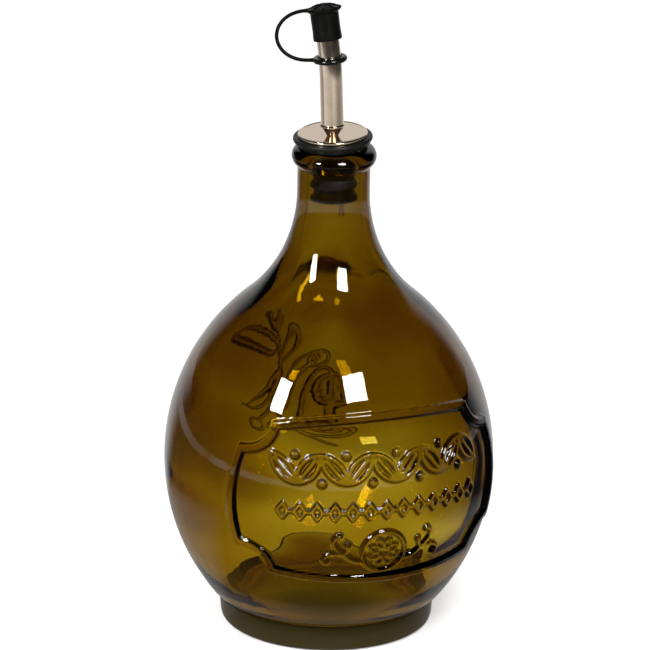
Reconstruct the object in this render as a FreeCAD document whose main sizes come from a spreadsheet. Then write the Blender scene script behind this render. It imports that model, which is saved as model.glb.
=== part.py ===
import FreeCAD, Part
import math
import os

import Sketcher
from FreeCAD import Placement, Rotation, Vector

# A glass oil cruet with a pourer, in millimetres.  The bottle stands on the XY plane with its axis on Z,
# and its raised label panel faces -Y.  The pourer has a frame of its own: it is turned about the bottle's
# axis, leans a little in the neck, and its spout bends near the tip.

SIZES = [
    # bottle, outside
    ("belly_radius", 66.3, "widest radius of the body"),
    ("belly_height", 69.2, "height of the widest ring"),
    ("bowl_arc", 88.0, "radius of the arc below the belly"),
    ("shoulder_arc", 88.0, "radius of the arc above the belly"),
    ("flare_arc", 60.0, "radius of the hollow curve into the neck"),
    ("neck_radius", 14.6, "outer radius of the neck"),
    ("lip_height", 201.0, "top of the lip"),
    ("bead_round", 4.2, "radius of the rounded lip bead"),
    ("bead_radius", 17.05, "widest radius of the lip bead"),
    ("bead_fillet", 1.2, "hollow fillet under the bead"),
    ("heel_arc", 10.0, "radius where the bowl turns in to the foot"),
    ("crease_inset", 23.5, "how far the crease above the foot lies inside the belly"),
    ("crease_height", 11.2, "height of the crease above the foot"),
    ("foot_flare", 0.4, "how far the foot's upper edge stands out from the crease"),
    ("foot_shoulder", 0.8, "height of the foot's rounded upper edge"),
    ("foot_taper", 0.6, "how much narrower the foot is above its lower edge"),
    ("foot_edge", 3.0, "height and depth of the rounded lower edge"),
    ("rest_width", 3.4, "width of the flat ring that the bottle stands on"),
    ("push_up", 3.2, "rise of the underside at the axis"),
    # bottle, inside
    ("wall", 4.6, "thickness of the body's wall"),
    ("bore_radius", 10.0, "radius of the bore of the neck"),
    ("floor_height", 8.5, "height of the inner floor"),
    ("floor_round", 12.0, "radius between the floor and the wall"),
    # raised label panel, as heights and as angles about the axis
    ("frame_ridge", 1.5, "radius of the frame's round ridge"),
    ("frame_sink", 0.45, "depth of the ridge's centre line under the surface"),
    ("frame_top", 102.2, "height of the frame's upper corners"),
    ("frame_crown", 4.0, "rise of the upper edge at its middle"),
    ("frame_bottom", 42.2, "height of the frame's lower corners"),
    ("frame_dip", 3.0, "fall of the lower edge at its middle"),
    ("frame_turn", 41.0, "half angle of the upper and lower edges"),
    ("frame_side_turn", 53.3, "half angle of the ends of the sides"),
    ("frame_bulge", 2.2, "further half angle of the sides at mid height"),
    ("notch", 10.6, "height of the hollow corner notches"),
    ("medal_radius", 8.8, "radius of the round medal's ring"),
    ("medal_height", 51.4, "height of the medal's centre"),
    ("line_ridge", 0.95, "radius of the ornament's ridges"),
    ("line_sink", 0.2, "depth of those ridges' centre lines under the surface"),
    ("garland_height", 86.8, "height of the garland's middle"),
    ("garland_turn", 41.0, "half angle of the garland"),
    ("leaf_length", 14.5, "length of a garland leaf"),
    ("leaf_rise", 1.0, "height of a leaf above the glass"),
    ("leaf_width", 6.2, "width of a garland leaf"),
    ("leaf_count", 9, "number of leaves in the garland"),
    ("leaf_tilt", 40.0, "lean of the leaves from upright, in degrees"),
    # pourer, set in the neck
    ("pourer_turn", 20.3, "turn of the pourer from the label, in degrees"),
    ("pourer_lean", 2.4, "lean of the pourer in the neck, in degrees"),
    ("pourer_shift", 0.55, "sideways shift of the flange from the axis"),
    ("seat_gap", 0.1, "gap between the flange and the lip at the low side"),
    ("flange_radius", 16.0, "widest radius of the rubber flange"),
    ("flange_under_radius", 14.4, "radius of the flange at its underside"),
    ("flange_thickness", 3.6, "thickness of the rubber flange"),
    ("flange_round", 1.1, "radius of the flange's upper edge"),
    ("plug_length", 22.8, "length of the rubber plug in the bore"),
    ("fin_clearance", 0.7, "room between a fin and the bore"),
    ("fin_depth", 1.1, "depth of the grooves between the fins"),
    ("fin_thickness", 2.6, "thickness of a fin at its root"),
    ("fin_edge", 1.2, "thickness of a fin at its rim"),
    ("fin_pitch", 5.8, "spacing of the fins"),
    ("fin_count", 4, "number of fins"),
    ("plate_radius", 14.0, "radius of the metal plate"),
    ("plate_thickness", 1.4, "thickness of the metal plate"),
    ("plate_round", 0.9, "radius of the plate's upper edge"),
    ("part_gap", 0.05, "assembly gap between pieces that seat on each other"),
    # spout
    ("spout_offset", 4.6, "distance of the spout from the pourer's axis"),
    ("spout_radius", 4.55, "outer radius of the spout"),
    ("spout_wall", 0.6, "wall of the spout"),
    ("stem_radius", 2.1, "outer radius of the stem below the spout"),
    ("stem_bore", 1.5, "radius of the stem's bore"),
    ("cone_height", 4.2, "height of the cone between stem and spout"),
    ("collar_rise", 0.35, "rise of the swaged collar above the spout's surface"),
    ("collar_height", 0.9, "height of the swaged collar"),
    ("spout_straight", 18.5, "straight length above the collar"),
    ("bend_radius", 88.0, "radius of the spout's bend"),
    ("bend_angle", 10.4, "angle of the bend, in degrees"),
    ("bend_turn", 126.6, "direction of the bend in the pourer's frame, in degrees"),
    ("spout_end", 9.5, "straight length above the bend"),
    # vent tube
    ("vent_radius", 1.3, "outer radius of the vent tube"),
    ("vent_bore", 0.9, "radius of the vent tube's bore"),
    ("vent_side", 2.8, "sideways place of the vent tube"),
    ("vent_back", 4.4, "distance of the vent tube behind the pourer's axis"),
    ("vent_below", 9.0, "length of the vent tube below the plug"),
    ("vent_above", 0.6, "height of the vent tube above the plate"),
    # cap, strap and ring
    ("cap_gap", 0.1, "gap between the spout and the rubber on it"),
    ("cap_wall", 1.15, "wall of the cap's skirt"),
    ("cap_length", 12.0, "length of the cap's skirt"),
    ("cap_cover", 9.0, "length of the spout inside the cap"),
    ("cap_flange_reach", 1.0, "overhang of the cap's top flange beyond its skirt"),
    ("cap_flange_thickness", 1.0, "thickness of the cap's top flange"),
    ("cap_dome", 1.1, "rise of the cap's top"),
    ("button_radius", 1.7, "radius of the button on the cap"),
    ("button_height", 0.6, "height of the button on the cap"),
    ("cap_ribs", 8, "number of ribs on the cap's top"),
    ("rib_size", 0.7, "width of a rib"),
    ("ring_round", 1.15, "radius of the ring's round section"),
    ("ring_drop", 8.0, "distance of the ring below the cap's skirt along the spout"),
    ("strap_round", 0.75, "radius of the strap"),
    ("strap_reach", 21.0, "distance of the strap's far side from the spout's axis"),
    ("strap_straight", 2.4, "straight length of the strap beside the ring"),
]

doc = FreeCAD.newDocument("oil_cruet")
sheet = doc.addObject("Spreadsheet::Sheet", "Sizes")
for row, (alias, value, note) in enumerate(SIZES, start=1):
    sheet.set(f"A{row}", alias)
    sheet.set(f"B{row}", str(value))
    sheet.set(f"C{row}", note)
    sheet.setAlias(f"B{row}", alias)
doc.recompute()


def size(alias):
    return float(getattr(sheet, alias))


def cells(expression):
    """Puts the sheet's name before each alias of an expression."""
    words = {alias for alias, value, note in SIZES}
    token = ""
    result = ""
    for letter in expression + " ":
        if letter.isalnum() or letter == "_":
            token += letter
            continue
        result += ("Sizes." + token if token in words else token) + letter
        token = ""
    return result.strip()


known = {}

# --- sketches --------------------------------------------------------------------------------------


def new_body(name):
    body = doc.addObject("PartDesign::Body", name)
    body.Label = name
    return body


def origin_item(body, role):
    return next(item for item in body.Origin.OriginFeatures if item.Role == role)


class Outline:
    """A closed outline in a body's sketch, drawn edge by edge from corner to corner."""

    def __init__(self, body, name, role="XZ_Plane", lift=None):
        self.sketch = body.newObject("Sketcher::SketchObject", name)
        self.sketch.AttachmentSupport = [(origin_item(body, role), "")]
        self.sketch.MapMode = "FlatFace"
        if lift:
            self.sketch.setExpression("AttachmentOffset.Base.z", cells(lift))
        self.edges = []

    def bind(self, constraint, expression):
        index = self.sketch.addConstraint(constraint)
        self.sketch.setExpression(f"Constraints[{index}]", cells(expression))

    def line(self, start, end):
        index = self.sketch.addGeometry(Part.LineSegment(flat(start), flat(end)))
        self.edges.append((index, 1, 2))
        return index

    def arc(self, start, end, centre, clockwise=False, radius=None):
        """An arc about a centre; a clockwise one is stored the other way round."""
        first, last = (end, start) if clockwise else (start, end)
        angles = [math.atan2(p[1] - centre[1], p[0] - centre[0]) for p in (first, last)]
        if angles[1] <= angles[0]:
            angles[1] += 2 * math.pi
        circle = Part.Circle(flat(centre), Vector(0, 0, 1), math.dist(start, centre))
        index = self.sketch.addGeometry(Part.ArcOfCircle(circle, *angles))
        self.edges.append((index, 2, 1) if clockwise else (index, 1, 2))
        if radius:
            self.bind(Sketcher.Constraint("Radius", index, math.dist(start, centre)), radius)
        return index

    def close(self, smooth=()):
        """Joins each edge to the next, tangent at the listed joints."""
        for place, (index, start, end) in enumerate(self.edges):
            following, next_start, next_end = self.edges[(place + 1) % len(self.edges)]
            kind = "Tangent" if place in smooth else "Coincident"
            self.sketch.addConstraint(Sketcher.Constraint(kind, index, end, following, next_start))

    def corner(self, place, across=None, up=None):
        """Binds the corner where edge number place starts."""
        index, start, end = self.edges[place]
        point = self.sketch.getPoint(index, start)
        if across == "0":
            self.sketch.addConstraint(Sketcher.Constraint("PointOnObject", index, start, -2))
        elif across:
            self.bind(Sketcher.Constraint("DistanceX", -1, 1, index, start, point.x), across)
        if up == "0":
            self.sketch.addConstraint(Sketcher.Constraint("PointOnObject", index, start, -1))
        elif up:
            self.bind(Sketcher.Constraint("DistanceY", -1, 1, index, start, point.y), up)

    def place(self, index, point, across, along):
        """Binds the centre of a full circle."""
        for kind, start, expression in (("DistanceX", point.x, across), ("DistanceY", point.y, along)):
            if expression == "0":
                axis = -2 if kind == "DistanceX" else -1
                self.sketch.addConstraint(Sketcher.Constraint("PointOnObject", index, 3, axis))
            else:
                self.bind(Sketcher.Constraint(kind, -1, 1, index, 3, start), expression)

    def level(self, place):
        self.sketch.addConstraint(Sketcher.Constraint("Horizontal", self.edges[place][0]))

    def upright(self, place):
        self.sketch.addConstraint(Sketcher.Constraint("Vertical", self.edges[place][0]))

    def centre(self, place, across=None, up=None):
        """Binds the centre of the arc that is edge number place."""
        index = self.edges[place][0]
        point = self.sketch.getPoint(index, 3)
        if across == "0":
            self.sketch.addConstraint(Sketcher.Constraint("PointOnObject", index, 3, -2))
        elif across:
            self.bind(Sketcher.Constraint("DistanceX", -1, 1, index, 3, point.x), across)
        if up:
            self.bind(Sketcher.Constraint("DistanceY", -1, 1, index, 3, point.y), up)


def flat(point):
    return Vector(point[0], point[1], 0)


def polygon(body, name, corners, role="XZ_Plane"):
    """An outline of straight edges whose corners are pairs of expressions with their values."""
    outline = Outline(body, name, role)
    points = [(value(across), value(up)) for across, up in corners]
    for place, point in enumerate(points):
        outline.line(point, points[(place + 1) % len(points)])
    outline.close()
    for place, (across, up) in enumerate(corners):
        outline.corner(place, across, up)
    return outline.sketch


def value(expression):
    """The number that an expression of the sheet's aliases comes to, worked out in a spare cell."""
    if expression not in known:
        sheet.set("E1", "=" + expression)
        sheet.recompute()
        known[expression] = float(sheet.get("E1"))
        sheet.clear("E1")
    return known[expression]


def revolve(body, sketch, name, kind="Revolution"):
    feature = body.newObject("PartDesign::" + kind, name)
    feature.Profile = sketch
    feature.ReferenceAxis = (sketch, ["V_Axis"])
    feature.Angle = 360
    sketch.Visibility = False
    return feature


def on_circle(centre, radius, across, upper):
    """The point of a circle at a given distance from the axis."""
    rise = math.sqrt(radius**2 - (across - centre[0]) ** 2)
    return (across, centre[1] + (rise if upper else -rise))


def between(first, second, share):
    return (first[0] + (second[0] - first[0]) * share, first[1] + (second[1] - first[1]) * share)


def crossing(first, reach, second, span, side):
    """Where two circles of radius reach and span cross, on the given side of their centre line."""
    gap = math.dist(first, second)
    along = (reach**2 - span**2 + gap**2) / (2 * gap)
    off = side * math.sqrt(reach**2 - along**2)
    unit = ((second[0] - first[0]) / gap, (second[1] - first[1]) / gap)
    return (first[0] + along * unit[0] - off * unit[1], first[1] + along * unit[1] + off * unit[0])


# --- glass bottle ----------------------------------------------------------------------------------

CREASE = "(belly_radius - crease_inset)"
FOOT = f"({CREASE} + foot_flare)"
FOOT_BASE = f"({FOOT} - foot_taper)"

bowl_centre = (size("belly_radius") - size("bowl_arc"), size("belly_height"))
shoulder_centre = (size("belly_radius") - size("shoulder_arc"), size("belly_height"))


def flare_centre(throat, arc, shoulder):
    """Centre of the hollow curve that is tangent to the throat and to a shoulder arc."""
    across = throat + arc
    rise = math.sqrt((arc + shoulder) ** 2 - (across - shoulder_centre[0]) ** 2)
    return (across, shoulder_centre[1] + rise)


outer_flare = flare_centre(size("neck_radius"), size("flare_arc"), size("shoulder_arc"))
inner_shoulder = size("shoulder_arc") - size("wall")
inner_flare_arc = size("flare_arc") + size("wall")
inner_flare = flare_centre(size("bore_radius"), inner_flare_arc, inner_shoulder)


def bottle_profile(body):
    """Half section of the bottle: outside from the foot up, over the lip, and down the inside."""
    outline = Outline(body, "bottle_profile")
    foot_base = value(FOOT_BASE)
    edge = size("foot_edge")
    rest_outer = foot_base - edge
    rest_inner = rest_outer - size("rest_width")
    rise = size("push_up")
    dome = (rest_inner**2 + rise**2) / (2 * rise)
    crease = (value(CREASE), size("crease_height"))
    foot_top = (value(FOOT), crease[1] - size("foot_shoulder"))
    step = foot_top[0] - crease[0]
    shoulder_round = (step**2 + size("foot_shoulder") ** 2) / (2 * step)
    heel = size("heel_arc")
    heel_centre = crossing(crease, heel, bowl_centre, size("bowl_arc") - heel, -1)
    heel_start = between(bowl_centre, heel_centre, size("bowl_arc") / (size("bowl_arc") - heel))
    belly = (size("belly_radius"), size("belly_height"))
    outer_turn = between(
        shoulder_centre, outer_flare, size("shoulder_arc") / (size("shoulder_arc") + size("flare_arc"))
    )
    bead = (size("bead_radius") - size("bead_round"), size("lip_height") - size("bead_round"))
    fillet = size("bead_fillet")
    fillet_across = size("neck_radius") + fillet
    fillet_drop = math.sqrt((size("bead_round") + fillet) ** 2 - (fillet_across - bead[0]) ** 2)
    fillet_centre = (fillet_across, bead[1] - fillet_drop)
    bead_foot = between(bead, fillet_centre, size("bead_round") / (size("bead_round") + fillet))
    lip_inner = on_circle(bead, size("bead_round"), size("bore_radius"), True)
    inner_turn = between(shoulder_centre, inner_flare, inner_shoulder / (inner_shoulder + inner_flare_arc))
    inner_bowl = size("bowl_arc") - size("wall")
    round_radius = size("floor_round")
    round_up = size("floor_height") + round_radius
    round_reach = inner_bowl - round_radius
    round_across = bowl_centre[0] + math.sqrt(round_reach**2 - (round_up - bowl_centre[1]) ** 2)
    round_centre = (round_across, round_up)
    round_end = between(bowl_centre, round_centre, inner_bowl / round_reach)
    inner_belly = (belly[0] - size("wall"), belly[1])

    outline.arc((0, rise), (rest_inner, 0), (0, rise - dome), clockwise=True)
    outline.line((rest_inner, 0), (rest_outer, 0))
    outline.arc((rest_outer, 0), (foot_base, edge), (rest_outer, edge), radius="foot_edge")
    outline.line((foot_base, edge), foot_top)
    outline.arc(foot_top, crease, (foot_top[0] - shoulder_round, foot_top[1]))
    outline.arc(crease, heel_start, heel_centre, radius="heel_arc")
    outline.arc(heel_start, belly, bowl_centre, radius="bowl_arc")
    outline.arc(belly, outer_turn, shoulder_centre)
    neck_start = (size("neck_radius"), outer_flare[1])
    outline.arc(outer_turn, neck_start, outer_flare, clockwise=True, radius="flare_arc")
    neck_end = (size("neck_radius"), fillet_centre[1])
    outline.line(neck_start, neck_end)
    outline.arc(neck_end, bead_foot, fillet_centre, clockwise=True, radius="bead_fillet")
    outline.arc(bead_foot, lip_inner, bead, radius="bead_round")
    outline.line(lip_inner, (size("bore_radius"), inner_flare[1]))
    bore_end = (size("bore_radius"), inner_flare[1])
    outline.arc(bore_end, inner_turn, inner_flare, radius="flare_arc + wall")
    outline.arc(inner_turn, inner_belly, shoulder_centre, clockwise=True)
    outline.arc(inner_belly, round_end, bowl_centre, clockwise=True, radius="bowl_arc - wall")
    floor_edge = (round_across, size("floor_height"))
    outline.arc(round_end, floor_edge, round_centre, clockwise=True, radius="floor_round")
    outline.line(floor_edge, (0, size("floor_height")))
    outline.line((0, size("floor_height")), (0, rise))

    outline.close(smooth=(2, 5, 7, 8, 9, 10, 12, 13, 15, 16))
    outline.corner(0, "0", "push_up")
    outline.centre(0, "0")
    outline.corner(1, f"{FOOT_BASE} - foot_edge - rest_width", "0")
    outline.corner(2, f"{FOOT_BASE} - foot_edge", "0")
    outline.corner(3, FOOT_BASE, None)
    outline.corner(4, FOOT, "crease_height - foot_shoulder")
    outline.corner(5, CREASE, "crease_height")
    outline.centre(4, None, "crease_height - foot_shoulder")
    outline.centre(6, "belly_radius - bowl_arc", "belly_height")
    outline.corner(7, None, "belly_height")
    outline.centre(7, "belly_radius - shoulder_arc", "belly_height")
    outline.corner(9, "neck_radius", None)
    outline.centre(11, "bead_radius - bead_round", "lip_height - bead_round")
    outline.corner(12, "bore_radius", None)
    outline.centre(14, "belly_radius - shoulder_arc", "belly_height")
    outline.corner(15, None, "belly_height")
    outline.centre(15, "belly_radius - bowl_arc", "belly_height")
    outline.corner(18, "0", "floor_height")
    outline.level(17)
    outline.upright(9)
    outline.upright(12)
    return outline.sketch


bottle_body = new_body("bottle_body")
profile = bottle_profile(bottle_body)
revolve(bottle_body, profile, "bottle_revolution")
doc.recompute()

# --- raised ornament on the glass -------------------------------------------------------------------


def on_glass(turn, height, sink):
    """Point under the bottle's outer surface, at a turn in degrees from -Y and a height."""
    above = height > size("belly_height")
    centre = shoulder_centre if above else bowl_centre
    arc = size("shoulder_arc") if above else size("bowl_arc")
    slope = math.asin((height - centre[1]) / arc)
    across = centre[0] + (arc - sink) * math.cos(slope)
    up = centre[1] + (arc - sink) * math.sin(slope)
    return Vector(across * math.sin(math.radians(turn)), -across * math.cos(math.radians(turn)), up)


def turn_for(length, height):
    """The turn about the axis, in degrees, that a length takes along the surface at a height."""
    return math.degrees(length / -on_glass(0, height, 0).y)


def ridge(points, radius, overrun=0.0):
    """A round ridge along the arc through three points, carried on past both ends by a length."""
    circle = Part.Arc(*points).toShape().Curve
    start = circle.parameter(points[0])
    end = circle.parameter(points[2])
    if end <= start:
        end += 2 * math.pi
    start -= overrun / circle.Radius
    end += overrun / circle.Radius
    first = circle.value(start)
    section = Part.makeCircle(radius, first, circle.tangent(start)[0])
    return Part.Face(Part.Wire(section)).revolve(circle.Center, circle.Axis, math.degrees(end - start))


def raised(name, spans, radius, sink, overrun=0.0):
    """Ridges on the glass, each along an arc given by three pairs of turn and height."""
    items = []
    for number, span in enumerate(spans, start=1):
        item = doc.addObject("Part::Feature", f"{name}_{number}")
        item.Shape = ridge([on_glass(*pair, sink) for pair in span], radius, overrun)
        items.append(item)
    return items


def frame_spans():
    """The label's frame: crowned top, dipped foot, bulging sides and four hollow corners."""
    top = size("frame_top")
    bottom = size("frame_bottom")
    turn = size("frame_turn")
    side = size("frame_side_turn")
    notch = size("notch")
    hollow = notch * math.sqrt(0.5)
    mid_turn = side - (side - turn) * math.sqrt(0.5)
    upper = top - notch
    lower = bottom + notch
    spans = [
        [(-turn, top), (0, top + size("frame_crown")), (turn, top)],
        [(-turn, bottom), (0, bottom - size("frame_dip")), (turn, bottom)],
    ]
    for hand in (-1, 1):
        bulge = hand * (side + size("frame_bulge"))
        spans += [
            [(hand * side, upper), (bulge, (upper + lower) / 2), (hand * side, lower)],
            [(hand * turn, top), (hand * mid_turn, top - hollow), (hand * side, upper)],
            [(hand * turn, bottom), (hand * mid_turn, bottom + hollow), (hand * side, lower)],
        ]
    return spans


def leaves():
    """The garland's leaves: low ovals that lean to one side and the other in turn."""
    count = int(size("leaf_count"))
    step = 2 * size("garland_turn") / count
    height = size("garland_height")
    items = []
    for number in range(count):
        turn = -size("garland_turn") + step * (number + 0.5)
        tilt = size("leaf_tilt") * (1 if number % 2 else -1)
        surface = on_glass(turn, height, 0)
        outward = surface - on_glass(turn, height, 1)
        item = doc.addObject("Part::Ellipsoid", f"leaf_{number + 1}")
        item.setExpression("Radius1", cells("leaf_rise + line_sink"))
        item.setExpression("Radius2", cells("leaf_width / 2"))
        item.setExpression("Radius3", cells("leaf_length / 2"))
        slope = math.degrees(math.atan2(outward.z, math.hypot(outward.x, outward.y)))
        facing = Rotation(Vector(0, 0, 1), turn) * Rotation(Vector(1, 0, 0), 90 - slope)
        leaning = facing * Rotation(Vector(0, 0, 1), tilt)
        item.Placement = Placement(on_glass(turn, height, size("line_sink")), leaning)
        items.append(item)
    return items


def medal_ring():
    """The medal's round ridge, sunk by as much as the glass falls away under its ring."""
    reach = size("medal_radius")
    height = size("medal_height")
    across = -on_glass(0, height, 0).y
    fall = reach**2 / 4 * (1 / across + 1 / size("bowl_arc"))
    centre = on_glass(0, height, size("line_sink") + fall)
    outward = on_glass(0, height, 0) - centre
    item = doc.addObject("Part::Torus", "medal_ring")
    item.setExpression("Radius1", cells("medal_radius"))
    item.setExpression("Radius2", cells("line_ridge"))
    item.Placement = Placement(centre, Rotation(Vector(0, 0, 1), outward))
    return item


def fused(name, items):
    """Fuses items one after another, because each meets the glass or the rubber on its own."""
    result = items[0]
    for number, item in enumerate(items[1:], start=1):
        step = doc.addObject("Part::Fuse", f"{name}_with_{number}")
        step.Base = result
        step.Tool = item
        step.Refine = False
        result = step
    result.Label = name
    return result


frame_ridge = size("frame_ridge")
relief = raised("frame", frame_spans(), frame_ridge, size("frame_sink"), frame_ridge / 2)
relief += leaves()
relief.append(medal_ring())
glass_bottle = fused("glass_bottle", [bottle_body] + relief)

# --- pourer: frames --------------------------------------------------------------------------------

SEAT = (
    "lip_height - bead_round + (bead_round + seat_gap + sin(pourer_lean * 1 deg)"
    " * (bead_radius - bead_round - pourer_shift)) / cos(pourer_lean * 1 deg)"
)
POURER = (
    "placement(vector(0; 0; 0); rotation(-pourer_turn; 0; 0))"
    f" * placement(vector(-pourer_shift; 0; {SEAT}); rotation(0; -pourer_lean; 0))"
)
PLATE_TOP = "(flange_thickness + part_gap + plate_thickness)"
CONE_TOP = f"({PLATE_TOP} + cone_height)"
BEND_START = f"({CONE_TOP} + collar_height + spout_straight)"
SPOUT = POURER + " * placement(vector(0; -spout_offset; 0); rotation(bend_turn; 0; 0))"


def on_spout(angle, beyond):
    """Placement on the spout's axis at an angle of its bend and a length beyond that."""
    across = f"bend_radius * (1 - cos(({angle}) * 1 deg))"
    up = f"{BEND_START} + bend_radius * sin(({angle}) * 1 deg)"
    bent = f"placement(vector({across}; 0; {up}); rotation(0; {angle}; 0))"
    return f"{SPOUT} * {bent} * placement(vector(0; 0; {beyond}); rotation(-bend_turn; 0; 0))"


CAP = on_spout("bend_angle", "spout_end - cap_cover")
RING_ANGLE = "(bend_angle - (ring_drop - spout_end + cap_cover) / bend_radius * 180 / pi)"
RING = on_spout(RING_ANGLE, "0")


def placed(item, expression):
    item.setExpression("Placement", cells(expression))
    return item


def drill(body, name, holes):
    """Round holes right through a body, each given by its place and radius as expressions."""
    outline = Outline(body, name + "_sketch", "XY_Plane")
    for across, along, radius in holes:
        point = flat((value(across), value(along)))
        circle = Part.Circle(point, Vector(0, 0, 1), value(radius))
        index = outline.sketch.addGeometry(circle)
        outline.bind(Sketcher.Constraint("Radius", index, value(radius)), radius)
        outline.place(index, point, across, along)
    pocket = body.newObject("PartDesign::Pocket", name)
    pocket.Profile = outline.sketch
    pocket.Type = "ThroughAll"
    pocket.SideType = "Symmetric"
    outline.sketch.Visibility = False
    return pocket


def turned(name, corners, rounds=()):
    """A body turned about its own Z from corners given as expressions; rounds holds rounded corners."""
    body = new_body(name)
    outline = Outline(body, name + "_profile")
    points = [(value(across), value(up)) for across, up in corners]
    for place, point in enumerate(points):
        following = points[(place + 1) % len(points)]
        if place in rounds:
            outline.arc(point, following, (following[0], point[1]), radius=rounds[place])
        else:
            outline.line(point, following)
    outline.close()
    for place, (across, up) in enumerate(corners):
        outline.corner(place, across, None if place - 1 in rounds else up)
    for place in rounds:
        outline.centre(place, None, corners[place][1])
    revolve(body, outline.sketch, name + "_revolution")
    return body


PLUG_CORE = "bore_radius - fin_clearance - fin_depth"
STEM_HOLE = ("0", "-spout_offset", "stem_radius + part_gap")
VENT_HOLE = ("vent_side", "vent_back", "vent_radius + part_gap")

# --- rubber stopper and metal plate -----------------------------------------------------------------


def stopper():
    """A flange that rests on the lip and a plug with fins that reaches down the bore."""
    corners = [("0", "-plug_length")]
    fin_count = int(size("fin_count"))
    for number in range(fin_count):
        middle = f"fin_thickness / 2 - plug_length + fin_pitch * {number}"
        rim = "bore_radius - fin_clearance"
        if number:
            corners.append((PLUG_CORE, f"{middle} - fin_thickness / 2"))
        corners.append((rim, f"{middle} - fin_edge / 2"))
        corners.append((rim, f"{middle} + fin_edge / 2"))
        corners.append((PLUG_CORE, f"{middle} + fin_thickness / 2"))
    corners.append((PLUG_CORE, "0"))
    corners.append(("flange_under_radius", "0"))
    corners.append(("flange_radius", "flange_thickness - flange_round"))
    corners.append(("flange_radius - flange_round", "flange_thickness"))
    corners.append(("0", "flange_thickness"))
    body = turned("rubber_stopper", corners, {len(corners) - 3: "flange_round"})
    drill(body, "stopper_holes", [STEM_HOLE, VENT_HOLE])
    return placed(body, POURER)


def plate():
    """The polished plate on top of the flange."""
    bottom = "flange_thickness + part_gap"
    corners = [
        ("0", bottom),
        ("plate_radius", bottom),
        ("plate_radius", f"{PLATE_TOP} - plate_round"),
        ("plate_radius - plate_round", PLATE_TOP),
        ("0", PLATE_TOP),
    ]
    body = turned("metal_plate", corners, {2: "plate_round"})
    drill(body, "plate_holes", [STEM_HOLE, VENT_HOLE])
    return placed(body, POURER)


rubber_stopper = stopper()
metal_plate = plate()

# --- spout and vent tube ---------------------------------------------------------------------------


def spout():
    """A stem, a cone and a collar turned in one, then a thin tube that bends near its end."""
    bore = "spout_radius - spout_wall"
    collar = "spout_radius + collar_rise"
    corners = [
        ("stem_bore", "-plug_length"),
        ("stem_radius", "-plug_length"),
        ("stem_radius", PLATE_TOP),
        (collar, CONE_TOP),
        (collar, f"{CONE_TOP} + collar_height / 2"),
        ("spout_radius", f"{CONE_TOP} + collar_height"),
        ("spout_radius", BEND_START),
        (bore, BEND_START),
        (bore, CONE_TOP),
        ("stem_bore", f"{PLATE_TOP} + spout_wall"),
    ]
    body = turned("spout", corners)
    rim = Outline(body, "spout_section", "XY_Plane", BEND_START)
    for radius in ("spout_radius", bore):
        circle = Part.Circle(Vector(0, 0, 0), Vector(0, 0, 1), value(radius))
        index = rim.sketch.addGeometry(circle)
        rim.bind(Sketcher.Constraint("Radius", index, value(radius)), radius)
        rim.place(index, Vector(0, 0, 0), "0", "0")
    path = Outline(body, "spout_path")
    reach = size("bend_radius")
    end = size("spout_end")
    bend = math.radians(size("bend_angle"))
    start = (0, value(BEND_START))
    centre = (reach, start[1])
    turn_end = (reach * (1 - math.cos(bend)), start[1] + reach * math.sin(bend))
    tip = (turn_end[0] + end * math.sin(bend), turn_end[1] + end * math.cos(bend))
    path.arc(start, turn_end, centre, clockwise=True)
    path.line(turn_end, tip)
    path.sketch.addConstraint(Sketcher.Constraint("Tangent", 0, 1, 1, 1))
    path.corner(0, "0", BEND_START)
    path.centre(0, "bend_radius", BEND_START)
    path.corner(1, "bend_radius * (1 - cos(bend_angle * 1 deg))", None)
    path.bind(Sketcher.Constraint("Distance", 1, end), "spout_end")
    pipe = body.newObject("PartDesign::AdditivePipe", "spout_bend")
    pipe.Profile = rim.sketch
    pipe.Spine = (path.sketch, ["Edge1", "Edge2"])
    path.sketch.Visibility = False
    rim.sketch.Visibility = False
    return placed(body, SPOUT)


def vent_tube():
    """The thin tube that lets air in beside the spout, open at both ends."""
    low = "-plug_length - vent_below"
    high = f"{PLATE_TOP} + vent_above"
    corners = [("vent_bore", low), ("vent_radius", low), ("vent_radius", high), ("vent_bore", high)]
    body = turned("vent_tube", corners)
    return placed(body, POURER + " * placement(vector(vent_side; vent_back; 0); rotation(0; 0; 0))")


spout_body = spout()
vent_body = vent_tube()

# --- rubber cap, strap and ring ---------------------------------------------------------------------


CAP_INNER = "(spout_radius + cap_gap)"
CAP_OUTER = f"({CAP_INNER} + cap_wall)"
CAP_FLANGE = f"({CAP_OUTER} + cap_flange_reach)"


def cap_top(extra=""):
    """Height of the cap's rim above the skirt's open end, with a further rise."""
    return f"cap_length + cap_flange_thickness{extra}"


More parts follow.
